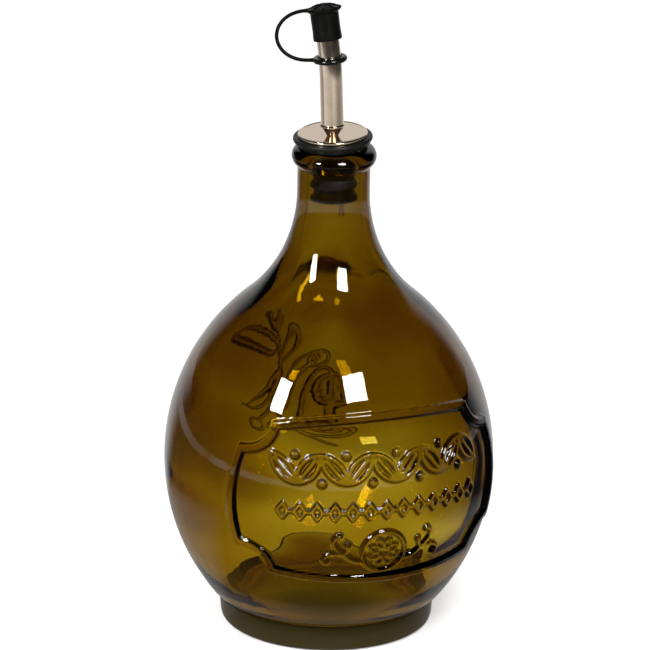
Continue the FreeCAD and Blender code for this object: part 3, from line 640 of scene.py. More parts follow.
def inner_wander(glass, turns, section):
    """How far the inner surface moves into the bottle, in millimetres, by turn and height.

    The glass is thinner behind the label and above the floor, and thicker at the sides and in the shoulder.
    Slow waves lie over that: a sum of sines of the turn and the height.
    """
    turn = np.radians(turns)[None]
    around = np.abs((turns + 180) % 360 - 180)[None]
    height = section[:, 1][:, None]
    radius = section[:, 0][:, None]
    thin, thick, wander = glass.panel_thinning / MM, glass.side_thickening / MM, glass.wander / MM
    label_height = smooth_between(34, 52, height) * (1 - smooth_between(88, 112, height))
    on_label = (1 - smooth_between(36, 68, around)) * label_height
    beside = smooth_between(40, 75, around) * (1 - 0.6 * smooth_between(120, 165, around))
    upper = smooth_between(96, 118, height) * (1 - smooth_between(139, 151, height))
    waves = (
        np.sin(3 * turn + 0.045 * height + 0.6)
        + 0.8 * np.sin(5 * turn - 0.11 * height + 2.1)
        + 0.7 * np.sin(2 * turn + 0.19 * height)
        + 0.35 * np.sin(9 * turn + 0.07 * height + 4.0)
    )
    in_bowl = smooth_between(12, 30, height) * smooth_between(10.5, 24, radius)
    low = 1.0 - smooth_between(30, 62, height)
    thicker = thick * np.maximum(beside, 1.6 * upper) * (1 - low) - 0.9 * low
    return in_bowl * (thicker - thin * on_label + wander * waves * smooth_between(30, 60, height))


def to_panel(form, spots):
    """Turns (degrees, height) into lengths on the glass: (radius * turn, climb)."""
    spots = np.asarray(spots, float)
    return np.stack([np.radians(spots[:, 0]) * form.radius_at(spots[:, 1]), form.climb(spots[:, 1])], axis=-1)


def three_point(first, middle, last, steps=24):
    """An arc through three points of a plane, as a line of points."""
    first, middle, last = (np.asarray(item, float) for item in (first, middle, last))
    share = np.linspace(0, 1, steps + 1)[:, None]
    bow = middle - (first + last) / 2
    half = np.linalg.norm(last - first) / 2
    sag = np.linalg.norm(bow)
    if sag < 1e-6:
        return first + (last - first) * share
    radius = (half**2 + sag**2) / (2 * sag)
    centre = middle - bow / sag * radius
    span = math.asin(min(1.0, half / radius)) if sag < radius else math.pi - math.asin(half / radius)
    angle = (share - 0.5) * 2 * span
    outward, aside = bow / sag, (last - first) / (2 * half)
    return centre + radius * (np.cos(angle) * outward + np.sin(angle) * aside)


def leaf_lines(root, tip, width, rib=0.8):
    """The two bowed sides of a leaf and its midrib."""
    root, tip = np.asarray(root, float), np.asarray(tip, float)
    along = (tip - root) / np.linalg.norm(tip - root)
    aside = np.array([along[1], -along[0]]) * width / 2
    middle = (root + tip) / 2
    lines = [three_point(root, middle + aside, tip), three_point(root, middle - aside, tip)]
    if rib:
        lines.append(np.stack([root, root + (tip - root) * rib]))
    return lines


def nearest(points, lines):
    """Distance of each point to the nearest of some lines: the foot of each run is kept within its ends."""
    best = np.full(len(points), 1e9)
    for line in lines:
        low, high = line.min(axis=0) - 4, line.max(axis=0) + 4
        inside = np.all((points > low) & (points < high), axis=1)
        if not inside.any():
            continue
        here = points[inside][:, None]
        start, run = line[:-1][None], np.diff(line, axis=0)[None]
        share = np.clip(((here - start) * run).sum(-1) / np.maximum((run**2).sum(-1), 1e-12), 0, 1)
        gap = np.linalg.norm(start + run * share[..., None] - here, axis=-1).min(axis=1)
        best[inside] = np.minimum(best[inside], gap)
    return best


def ridge(distance, half, soft):
    """A flat-topped ridge: 1 within half - soft of its line, 0 beyond half + soft, smooth between."""
    return smooth_between(half + soft, half - soft, distance)


def frame_lines(form):
    """The label's frame: crowned top, dipped foot, bulging sides and four hollow corners."""
    top, bottom, turn, side, notch = 102.2, 42.2, 41.0, 53.3, 10.6
    crown, dip, bulge = 4.0, 3.0, 2.2
    lines = [
        [(-turn, top), (0, top + crown), (turn, top)],
        [(-turn, bottom), (0, bottom - dip), (turn, bottom)],
    ]
    mid = side - (side - turn) * math.sqrt(0.5)
    for hand in (-1, 1):
        bulged = (hand * (side + bulge), (top + bottom) / 2)
        lines.append([(hand * side, top - notch), bulged, (hand * side, bottom + notch)])
        for edge, inward in ((top, -notch), (bottom, notch)):
            hollow = (hand * mid, edge + inward * math.sqrt(0.5))
            lines.append([(hand * turn, edge), hollow, (hand * side, edge + inward)])
    return [three_point(*to_panel(form, line), steps=40) for line in lines]


def garland_lines(form):
    """Nine leaves that lean to one side and the other, with an olive in each gap between them."""
    count, half_turn, level, tilt = 9, 41.0, 86.8, 40.0
    half_leaf, leaf_width, olive_drop = 7.25, 6.2, 5.6
    lines, olives = [], []
    step = 2 * half_turn / count
    for number in range(count):
        hand = 1 if number % 2 else -1
        turn = -half_turn + step * (number + 0.5)
        lean = math.radians(tilt) * hand
        middle, gap = to_panel(form, [(turn, level), (turn - step / 2, level)])
        reach = np.array([math.sin(lean), math.cos(lean)]) * half_leaf
        lines += leaf_lines(middle - reach, middle + reach, leaf_width)
        if number:
            olives.append(gap + (0.0, hand * olive_drop))
    return lines, olives


def band_lines(form):
    """A narrow band of lozenges with beads between them."""
    level, wide, tall = 69.4, 2.3, 3.2
    turns = np.linspace(-36.0, 37.0, 13)
    lozenge = np.array([(-wide, 0), (0, tall), (wide, 0), (0, -tall), (-wide, 0)])
    lines = [lozenge + middle for middle in to_panel(form, [(turn, level) for turn in turns])]
    between = (turns[:-1] + turns[1:]) / 2
    return lines, list(to_panel(form, [(turn, level) for turn in between]))


def medal_lines(form):
    """A round medal with a flower of eight petals."""
    centre = to_panel(form, [(0.0, 51.4)])[0]
    petals = []
    for number in range(8):
        angle = math.radians(45 * number + 22.5)
        out = np.array([math.cos(angle), math.sin(angle)])
        petals += leaf_lines(centre + out * 1.9, centre + out * 6.3, 2.5, 0)
    return [arc(centre, 8.8, 0, 360, 60)], petals


def sprig_lines(form):
    """A scroll sprig on each side of the medal: a stem that parts into three curls, each ending in a bud."""
    stem = [(8.1, 47.2), (12.6, 48.3), (16.2, 51.2)]
    top = [(16.2, 51.2), (19.6, 54.2), (20.6, 57.4), (19.2, 59.6)]
    outer = [(16.2, 51.2), (19.9, 51.5), (23.2, 50.4), (24.2, 48.4)]
    middle = [(16.0, 51.4), (14.9, 53.6)]
    buds = [(18.6, 59.0), (23.0, 47.5), (14.9, 54.9)]
    offset = form.climb(51.0) - 51.0
    lines, knobs = [], []
    for hand in (-1, 1):
        for path in (stem, top, outer, middle):
            lines.append(smooth_path([(hand * x, y + offset) for x, y in path], 8))
        knobs += [np.array([hand * x, y + offset]) for x, y in buds]
    return lines, knobs


def back_lines(form):
    """A branch on the far side of the bottle: a curved stem, broad leaves and three olives on stalks."""
    base = np.array([0.0, float(form.climb(78.0))])
    lines = [smooth_path(base + [(-22, -22), (-10, -12), (2, 2), (9, 17), (12, 29)], 10)]
    for x, y, angle, reach in (
        (-13, -15, 150, 19),
        (-7, -9, -30, 17),
        (-2, -3, 135, 21),
        (4, 5, -8, 18),
        (6, 10, 120, 20),
        (10, 19, 30, 17),
        (12, 27, 95, 16),
    ):
        root = base + (x, y)
        way = np.array([math.cos(math.radians(angle)), math.sin(math.radians(angle))])
        lines += leaf_lines(root, root + way * reach, reach * 0.40, 0)
    for olive, size, stalk in (
        ((-17, 6), 5.2, [(-4.0, -4), (-12.5, 3.5)]),
        ((-20, -6), 4.6, [(-9.0, -10), (-16.0, -7)]),
        ((17, -15), 5.2, [(1.0, 1), (13.4, -11.4)]),
    ):
        lines += [arc(base + olive, size, 0, 360, 30), base + stalk]
    return lines


def relief(form, glass, turn, height):
    """How far the glass stands out, in millimetres, at turns in degrees (from the front) and heights."""
    rise = np.zeros(turn.shape)
    line_height = glass.line_height / MM
    front = np.abs(turn) < FINE_FRONT + 3
    spots = to_panel(form, np.stack([turn[front], height[front]], axis=-1))
    garland, olives = garland_lines(form)
    band, beads = band_lines(form)
    ring, petals = medal_lines(form)
    sprigs, knobs = sprig_lines(form)
    shape = glass.frame_height / MM * ridge(nearest(spots, frame_lines(form)), 1.65, 0.36)
    for lines, half, tall in (
        (garland, 0.95, 1.0),
        (band, 0.8, 0.85),
        (ring, 0.85, 1.0),
        (petals, 0.5, 0.75),
        (sprigs, 0.85, 1.0),
    ):
        shape = np.maximum(shape, line_height * tall * ridge(nearest(spots, lines), half, 0.30))
    for places, size, tall in ((olives, 1.7, 1.3), (beads, 0.95, 1.0), (knobs, 1.15, 1.35)):
        gap = nearest(spots, [np.stack([place, place + (0.01, 0.0)]) for place in places])
        dome = np.sqrt(np.clip(1 - (gap / (size + 0.35)) ** 2, 0, 1))
        shape = np.maximum(shape, line_height * tall * dome)
    rise[front] = shape
    far = np.abs(turn) > FINE_BACK - 2
    from_back = np.where(turn[far] > 0, turn[far] - 180, turn[far] + 180)
    spots = to_panel(form, np.stack([from_back, height[far]], axis=-1))
    rise[far] = 1.35 * line_height * ridge(nearest(spots, back_lines(form)), 0.85, 0.45)
    return rise


def column_turns():
    """Turns of the fine columns in degrees: close together on the label and the far side, wider elsewhere.

    Each span has a whole number of fours, because every fourth column is a coarse one.
    """
    spans = []
    for low, high, step in (
        (-FINE_FRONT, FINE_FRONT, 0.38),
        (FINE_FRONT, FINE_BACK, 2.1),
        (FINE_BACK, 360 - FINE_BACK, 0.85),
        (360 - FINE_BACK, 360 - FINE_FRONT, 2.1),
    ):
        spans.append(np.linspace(low, high, 4 * round((high - low) / step / 4), endpoint=False))
    return np.concatenate(spans)


def panel_rows(form, glass, turns):
    """The fine rings, whose points are moved out by the relief, and how steep the relief is, from 0 to 1."""
    climb = np.linspace(form.climb(PANEL_LOW), form.climb(PANEL_HIGH), PANEL_ROWS)
    slope = climb / form.bowl_arc
    outward = np.stack([np.cos(slope), np.sin(slope)], axis=-1)
    section = form.middle + form.bowl_arc * outward
    angle = np.radians(turns)
    turn = np.broadcast_to((turns + 180) % 360 - 180, (len(section), len(turns)))
    height = np.broadcast_to(section[:, 1:], turn.shape)
    rise = relief(form, glass, turn.ravel(), height.ravel()).reshape(turn.shape)
    across = np.gradient(rise, axis=1) / (np.gradient(np.unwrap(angle)) * section[:, :1])
    steep = np.hypot(np.gradient(rise, climb, axis=0), across)
    points = turned(section, angle) + turned(outward, angle) * rise[..., None]
    return points, smooth_between(0.35, 1.6, steep)


def inner_rows(form, glass, turns):
    """The rings of the inside, whose points are moved into the bottle by the wander."""
    section = form.inside()
    way = np.gradient(section, axis=0)
    way /= np.linalg.norm(way, axis=1, keepdims=True)
    square = np.stack([way[:, 1], -way[:, 0]], axis=-1)
    angle = np.radians(turns)
    return turned(section, angle) + turned(square, angle) * inner_wander(glass, turns, section)[..., None]


def seam_faces(coarse, fine, count, upward):
    """Triangles between a coarse ring and a fine one with four times its points, given their first points."""
    cell = np.arange(count)
    here, following = coarse + cell, coarse + (cell + 1) % count
    point = [fine + (4 * cell + step) % (4 * count) for step in range(5)]
    fans = [
        (here, point[1], point[0]),
        (here, point[2], point[1]),
        (here, following, point[2]),
        (following, point[3], point[2]),
        (following, point[4], point[3]),
    ]
    faces = np.vstack([np.stack(fan, axis=-1) for fan in fans])
    return faces if upward else faces[:, ::-1]


def bottle_mesh(glass):
    """The bottle as one closed surface: coarse rings, the panel's fine ones, then coarse ones to the floor.

    The point attribute "edge" says how steep the relief is, for the painted shade on the glass's steep sides.
    """
    form = BottleForm(glass)
    fine = column_turns()
    coarse = fine[::4]
    count = len(coarse)
    angle = np.radians(coarse)
    low = turned(form.outside_low(), angle)
    panel, edges = panel_rows(form, glass, fine)
    high = np.concatenate([turned(form.outside_high(), angle), inner_rows(form, glass, coarse)])
    poles = [[0, 0, PUSH_UP], [0, 0, high[-1, 0, 2]]]
    points = np.vstack([rings.reshape(-1, 3) for rings in (low, panel, high)] + [poles])
    panel_start = len(low) * count
    high_start = panel_start + len(panel) * len(fine)
    total = high_start + len(high) * count
    quads = np.vstack(
        [
            grid_faces(len(low), count),
            grid_faces(len(panel), len(fine), panel_start),
            grid_faces(len(high), count, high_start),
        ]
    )
    triangles = np.vstack(
        [
            seam_faces(panel_start - count, panel_start, count, True),
            seam_faces(high_start, high_start - len(fine), count, False),
            end_fans(count, total),
        ]
    )
    bottle = place_mesh("bottle_glass", points, quads, triangles)
    values = np.zeros(len(points), np.float32)
    values[panel_start:high_start] = edges.ravel()
    bottle.data.attributes.new("edge", "FLOAT", "POINT").data.foreach_set("value", values)
    return bottle


# --- pourer ------------------------------------------------------------------------------------------


# In millimetres: clearances, heights on the spout's and the cap's own axes, and places along the spout.
LIP_GAP = 0.1
PLATE_GAP = 0.05
COVER_GAP = 0.1
SPOUT_HEIGHTS = {"plate": 5.05, "cone": 9.25, "collar": 10.15, "bend": 28.65}
BEND_RADIUS = 88.0
BEND_TURN = math.radians(126.6)
TIP_LENGTH = 9.5
CAP_HEIGHTS = {"skirt": 12.0, "rim": 13.0, "dome": 14.1, "button": 14.7, "cover": 9.0}
RING_DROP = 8.0


def pourer_frame(glass, pourer):
    """The frame that the pourer is drawn in: turned about the bottle, shifted on the lip and leant.

    The shift and the lean lower one side, so the seat is where the flange just clears the bead.
    """
    bead = (glass.bead_radius - glass.bead_round) / MM
    top = glass.lip_height / MM - glass.bead_round / MM
    shift, lean = pourer.shift / MM, pourer.lean
    seat = top + (glass.bead_round / MM + LIP_GAP + math.sin(lean) * (bead - shift)) / math.cos(lean)
    return (
        Matrix.Rotation(pourer.turn, 4, "Z")
        @ Matrix.Translation((-shift, 0, seat))
        @ Matrix.Rotation(-lean, 4, "Y")
    )


def spout_frame(glass, pourer):
    """The frame of the spout: its X points the way the spout bends."""
    return (
        pourer_frame(glass, pourer)
        @ Matrix.Translation((0, -pourer.spout_offset / MM, 0))
        @ Matrix.Rotation(BEND_TURN, 4, "Z")
    )


def bend_frame(glass, pourer, angle, beyond=0.0):
    """A frame on the spout's axis at an angle of its bend, unturned about that axis."""
    across = BEND_RADIUS * (1 - math.cos(angle))
    up = SPOUT_HEIGHTS["bend"] + BEND_RADIUS * math.sin(angle)
    return (
        spout_frame(glass, pourer)
        @ Matrix.Translation((across, 0, up))
        @ Matrix.Rotation(angle, 4, "Y")
        @ Matrix.Translation((0, 0, beyond))
        @ Matrix.Rotation(-BEND_TURN, 4, "Z")
    )


def cap_frame(glass, pourer):
    """The frame of the cap, at its open end: the cap covers the last of the tube."""
    return bend_frame(glass, pourer, pourer.bend_angle, TIP_LENGTH - CAP_HEIGHTS["cover"])


def ring_frame(glass, pourer):
    """The frame of the ring, some way below the cap."""
    angle = pourer.bend_angle - (RING_DROP - TIP_LENGTH + CAP_HEIGHTS["cover"]) / BEND_RADIUS
    return bend_frame(glass, pourer, angle)


def stopper_mesh(glass, pourer):
    """Flange and finned plug of one moulding, turned from a rounded profile."""
    flange = pourer.flange_radius / MM
    thick = pourer.flange_thickness / MM
    plug = pourer.plug_length / MM
    core = pourer.plug_radius / MM
    fin = pourer.fin_radius / MM
    plate = pourer.plate_radius / MM
    fins, first_fin, fin_step, half_fin, half_root = 3, 1.3, 5.8, 0.6, 1.3
    corners = [(0.05, -plug), (5.0, -plug)]
    for number in range(fins):
        middle = first_fin - plug + fin_step * number
        corners += [
            (core if number else core - 0.9, middle - half_root, 0.25),
            (fin, middle - half_fin, 0.35),
            (fin, middle + half_fin, 0.35),
            (core, middle + half_root, 0.5),
        ]
    corners += [
        (core, -5.2, 0.3),
        (fin + 0.35, -4.6, 0.4),
        (fin + 0.35, -0.15, 0.2),
        (flange - 1.6, 0.0, 0.5),
        (flange, thick - 1.3, 0.9),
        (flange - 0.15, thick, 0.75),
        (plate + 0.35, thick),
        (plate - 0.6, thick),
        (0.05, thick),
    ]
    points = carried(pourer_frame(glass, pourer), lathe(rounded(corners), 128))
    return place_mesh("stopper_moulding", *closed_grid(points))


def plate_mesh(glass, pourer):
    """A dished disc: flat middle, a shallow step inside its rim and a rolled edge."""
    radius = pourer.plate_radius / MM
    low = pourer.flange_thickness / MM + PLATE_GAP
    high = low + pourer.plate_thickness / MM
    corners = [
        (0.05, low),
        (radius - 0.3, low, 0.25),
        (radius, low + 0.35, 0.25),
        (radius, high - 0.15, 0.5),
        (radius - 1.0, high + 0.02, 0.35),
        (radius - 1.45, high - 0.14, 0.3),
        (radius - 2.2, high - 0.1, 0.3),
        (5.8, high),
        (0.05, high),
    ]
    points = carried(pourer_frame(glass, pourer), lathe(rounded(corners), 160))
    return place_mesh("plate_disc", *closed_grid(points))


def spout_mesh(glass, pourer):
    """Stem, cone, collar and tube, outside and back inside, drawn upright and then bent.

    Above the bend a point at height h goes to the angle h / bend radius of the bend, then straight on.
    """
    tube_radius = pourer.spout_radius / MM
    heights = SPOUT_HEIGHTS
    low = -pourer.plug_length / MM
    bend = pourer.bend_angle
    total = BEND_RADIUS * bend + TIP_LENGTH
    outside = rounded(
        [
            (1.5, low),
            (2.1, low, 0.1),
            (2.1, heights["plate"]),
            (2.35, heights["plate"] + 0.1, 0.1),
            (4.45, heights["cone"] - 0.25, 0.3),
            (4.95, heights["cone"] + 0.1, 0.15),
            (4.95, heights["cone"] + 0.55, 0.2),
            (tube_radius, heights["collar"], 0.25),
            (tube_radius, heights["bend"]),
        ]
    )
    sheet, lip_rise = 0.6, 0.12
    run = upright(tube_radius, heights["bend"] + np.linspace(0, total, 26)[1:])
    tip = heights["bend"] + total
    lip = np.array([[tube_radius - 0.15, tip + lip_rise], [tube_radius - 0.45, tip + lip_rise]])
    inner = tube_radius - sheet
    back = run[::-1] - (sheet, 0)
    inside = np.array([[inner, heights["bend"]], [inner, heights["cone"]], [1.5, heights["plate"] + 0.6]])
    profile = np.vstack([outside, run, lip, back, inside])
    rings = lathe(profile, 72)
    beyond = np.clip(rings[..., 2] - heights["bend"], 0, None)
    angle = np.clip(beyond / BEND_RADIUS, 0, bend)
    rest = beyond - angle * BEND_RADIUS
    straight = np.minimum(rings[..., 2], heights["bend"])
    bent = np.stack(
        [
            BEND_RADIUS * (1 - np.cos(angle)) + rest * np.sin(angle) + rings[..., 0] * np.cos(angle),
            rings[..., 1],
            straight + BEND_RADIUS * np.sin(angle) + rest * np.cos(angle) - rings[..., 0] * np.sin(angle),
        ],
        axis=-1,
    )
    points, quads = torus_grid(carried(spout_frame(glass, pourer), bent))
    return place_mesh("spout_tube", points, quads)


def vent_mesh(glass, pourer):
    """A thin open tube: rings up the outside and back down the bore."""
    bore, radius, edge = 0.9, 1.3, 0.1
    low = -pourer.plug_length / MM - 9.0
    high = SPOUT_HEIGHTS["plate"] + 0.6
    outside = [(radius - edge, low), (radius, low + edge), (radius, high - edge), (radius - edge, high)]
    profile = np.array([(bore, low), *outside, (bore, high)])
    vent_frame = pourer_frame(glass, pourer) @ Matrix.Translation((2.8, 4.4, 0))
    points, quads = torus_grid(carried(vent_frame, lathe(profile, 32)))
    return place_mesh("vent_pipe", points, quads)


def cap_mesh(glass, pourer):
    """Skirt, thin flange with a lobe on two sides, a low dome with eight ribs and a round button.

    The lobes go with a high power of the turn's sine, the ribs with the cube of the cosine of eight turns.
    """
    inner = pourer.spout_radius / MM + COVER_GAP
    high = CAP_HEIGHTS
    profile = rounded(
        [
            (inner, 0.0),
            (5.72, 0.0, 0.2),
            (5.78, 0.9),
            (5.62, 4.0),
            (5.72, high["skirt"] - 0.9, 0.4),
            (6.5, high["skirt"], 0.25),
            (6.75, high["skirt"] + 0.5, 0.2),
            (6.5, high["rim"], 0.3),
            (4.2, high["rim"] + 0.62),
            (2.4, high["dome"] - 0.05, 0.3),
            (1.75, high["dome"] + 0.05, 0.1),
            (1.7, high["button"] - 0.15, 0.2),
            (1.3, high["button"], 0.2),
            (0.04, high["button"] + 0.05),
            (0.04, high["cover"] + COVER_GAP),
            (inner, high["cover"] + COVER_GAP),
        ]
    )
    columns = 128
    rings = lathe(profile, columns)
    turn = np.linspace(0, 2 * math.pi, columns, endpoint=False)[None]
    radius, height = profile[:, 0][:, None], profile[:, 1][:, None]
    flange = np.clip((radius - 5.7) / 0.8, 0, 1) * (height > high["skirt"] - 0.5)
    lobe = 0.5 * np.maximum(-np.sin(turn), 0) ** 12 + 0.45 * np.maximum(np.sin(turn), 0) ** 12
    rings[..., :2] *= (1 + flange * lobe / 6.6)[..., None]
    ribbed = np.clip((radius - 1.9) / 0.5, 0, 1) * np.clip((6.7 - radius) / 0.6, 0, 1)
    rib = np.maximum(np.cos(8 * turn), 0) ** 3
    rings[..., 2] += 0.42 * ribbed * (height > high["rim"] - 0.05) * rib
    points, quads = torus_grid(carried(cap_frame(glass, pourer), rings))
    return place_mesh("cap_moulding", points, quads)


RING_RADIUS, RING_ROUND = 5.8, 1.15


def ring_mesh(glass, pourer):
    """The ring round the spout, of round section."""
    profile = arc((RING_RADIUS, 0.0), RING_ROUND, 0, 360, 28)[:-1]
    points, quads = torus_grid(carried(ring_frame(glass, pourer), lathe(profile, 80)))
    return place_mesh("ring_moulding", points, quads)


def strap_mesh(glass, pourer):
    """The strap: a round tube along a loop from the ring to the cap's flange, thicker at both roots.

    The loop's reach goes with the cosine and its height with the sine of an angle that makes half a turn.
    """
    root, first, loop = 5.9, 2.4, 21.0
    start = carried(ring_frame(glass, pourer), np.array([-root, 0.0, 0.0]))
    end = carried(cap_frame(glass, pourer), np.array([-6.1, 0.0, 12.5]))
    away = carried(pourer_frame(glass, pourer).to_3x3().to_4x4(), np.array([-1.0, 0.0, 0.0]))
    up = end - start
    up -= away * (up @ away)
    rise = np.linalg.norm(up)
    up /= rise
    lead = (end - start) @ away
    turn = np.linspace(-math.pi / 2, math.pi / 2, 60)
    base = np.where(turn < 0, first, lead)
    across = base + (loop - root - base) * np.abs(np.cos(turn)) ** 0.92
    climb = rise / 2 + rise / 2 * np.sin(turn)
    bow = start + away * across[:, None] + up * climb[:, None]
    path = np.vstack([start, start + away * 1.2, bow])
    radius = np.full(len(path), pourer.strap_radius / MM)
    radius[:2] = (1.05, 0.85)
    radius[-3:] = (0.78, 0.85, 0.95)
    return place_mesh("strap_moulding", *closed_grid(tube(path, radius, 20, np.cross(away, up))))


# --- operators ---------------------------------------------------------------------------------------


class CRUET_OT_bottle(bpy.types.Operator):
    """Makes the glass bottle with its raised label panel"""

    bl_idname = "cruet.bottle"
    bl_label = "Glass bottle"

    def execute(self, context):
        glass = context.scene.cruet_glass
        finish_piece(bottle_mesh(glass), olive_glass(glass), "glass", "glass_bottle")
        return {"FINISHED"}


class CRUET_OT_stopper(bpy.types.Operator):
    """Makes the rubber stopper"""

    bl_idname = "cruet.stopper"
    bl_label = "Rubber stopper"

    def execute(self, context):
        glass, pourer = context.scene.cruet_glass, context.scene.cruet_pourer
        rubber = black_rubber("stopper_rubber", pourer.rubber, 0.30, 0.22)
        finish_piece(stopper_mesh(glass, pourer), rubber, "rubber", "rubber_stopper")
        return {"FINISHED"}


class CRUET_OT_metal(bpy.types.Operator):
    """Makes the plate, the spout and the vent tube"""

    bl_idname = "cruet.metal"
    bl_label = "Metal pourer"

    def execute(self, context):
        glass, pourer = context.scene.cruet_glass, context.scene.cruet_pourer
        disc = polished_steel(pourer, "polished_disc", (2200.0, 2200.0, 40.0))
        pipe = polished_steel(pourer, "polished_pipe", (2400.0, 2400.0, 60.0))
        finish_piece(plate_mesh(glass, pourer), disc, "metal", "metal_plate")
        finish_piece(spout_mesh(glass, pourer), pipe, "metal", "spout")
        finish_piece(vent_mesh(glass, pourer), pipe, "metal", "vent_tube")
        return {"FINISHED"}


class CRUET_OT_cap(bpy.types.Operator):
    """Makes the rubber cap, its strap and its ring"""

    bl_idname = "cruet.cap"
    bl_label = "Rubber cap"

    def execute(self, context):
        glass, pourer = context.scene.cruet_glass, context.scene.cruet_pourer
        rubber = black_rubber("cap_rubber", pourer.cap_rubber, 0.26, 0.05)
        glossy = black_rubber("ring_rubber", pourer.cap_rubber, 0.08, 0.40)
        for make, finish in ((cap_mesh, rubber), (strap_mesh, rubber), (ring_mesh, glossy)):
            finish_piece(make(glass, pourer), finish, "rubber", "rubber_cap")
        return {"FINISHED"}


class CRUET_OT_stage(bpy.types.Operator):
    """Makes the floor, the lamps and the camera"""

    bl_idname = "cruet.stage"
    bl_label = "Stage"

    def execute(self, context):
        stage = context.scene.cruet_stage
        place_floor(stage)
        place_world(context.scene, stage)
        place_camera(context.scene, stage)
        place_lamps(context.scene, stage)
        return {"FINISHED"}


# --- stage -------------------------------------------------------------------------------------------


def level_axes(stage):
    """The level directions towards the camera and to its right."""
    towards = Vector((-math.sin(stage.azimuth), -math.cos(stage.azimuth), 0))
    return towards, Vector((math.cos(stage.azimuth), -math.sin(stage.azimuth), 0))


def place_camera(scene, stage):
    """A long lens aimed so that the cruet stands a little low and to the right in the view."""
    aside, above = -0.00219, 0.01352
    towards, level = level_axes(stage)
    back = towards * math.cos(stage.elevation) + Vector((0, 0, math.sin(stage.elevation)))
    upward = back.cross(level)
    right = level * math.cos(stage.roll) + upward * math.sin(stage.roll)
    up = upward * math.cos(stage.roll) - level * math.sin(stage.roll)
    aim = Vector((0, 0, stage.look_height)) + aside * right + above * up
    data = bpy.data.cameras.new("camera")
    data.lens = stage.focal
    data.sensor_width = 36.0
    data.clip_end = 60.0
    camera = bpy.data.objects.new("camera", data)
    scene.collection.objects.link(camera)
    turn = Matrix((right, up, back)).transposed().to_4x4()
    camera.matrix_world = Matrix.Translation(aim + back * stage.distance) @ turn
    scene.camera = camera


def place_lamps(scene, stage):
    """Two softboxes, each given by its turn from the camera, height angle, size and aim."""
    towards, right = level_axes(stage)
    for name, turn, height, wide, tall, aim in (
        ("softbox_left", -45.0, 35.0, 0.075, 0.135, (-0.034, -0.041, 0.114)),
        ("softbox_right", 25.0, 44.0, 0.125, 0.120, (-0.008, -0.051, 0.118)),
    ):
        turn, height = math.radians(turn), math.radians(height)
        way = (towards * math.cos(turn) + right * math.sin(turn)) * math.cos(height)
        way += Vector((0, 0, math.sin(height)))
        data = bpy.data.lights.new(name, "AREA")
        data.shape = "RECTANGLE"
        data.size = wide
        data.size_y = tall
        data.energy = stage.lamp_power
        lamp = bpy.data.objects.new(name, data)
        scene.collection.objects.link(lamp)
        lamp.location = Vector(aim) + way * stage.lamp_distance
        lamp.rotation_euler = way.to_track_quat("Z", "Y").to_euler()
        lamp.visible_camera = False


# Brightness of the room all round the cruet: share of a full turn, tone. Half way is towards the camera.
ROOM_TONES = (
    (0.00, 0.62), (0.06, 0.64), (0.105, 0.62), (0.18, 0.45), (0.24, 0.40), (0.255, 0.25),
    (0.275, 0.90), (0.37, 0.74), (0.44, 0.64), (0.50, 0.63), (0.56, 0.84), (0.61, 0.72),
    (0.67, 0.46), (0.73, 0.37), (0.80, 0.42), (0.90, 0.50), (1.00, 0.62),
)


def room_tone(finish, vector, stage):
    """Brightness of the room in a direction, by the direction's turn."""
    sockets = {"Vector": vector, "Angle": stage.azimuth + math.pi / 2}
    from_camera = finish.node("ShaderNodeVectorRotate", {"rotation_type": "Z_AXIS"}, sockets)
    around = finish.node("ShaderNodeTexGradient", {"gradient_type": "RADIAL"}, {"Vector": from_camera}, "Fac")
    tone = finish.node("ShaderNodeValToRGB", {"stops": ROOM_TONES}, {"Fac": around})
    return finish.node("ShaderNodeSeparateColor", {}, {"Color": tone})


def behind_share(finish, vector, stage):
    """Cosine of the turn between a direction and the middle of the backdrop: 1 straight behind the cruet."""
    unit = finish.vector("NORMALIZE", finish.vector("MULTIPLY", vector, (1.0, 1.0, 0.0)))
    turn = stage.azimuth + stage.backdrop_turn
    return finish.vector("DOT_PRODUCT", unit, (math.sin(turn), math.cos(turn), 0.0), output="Value")


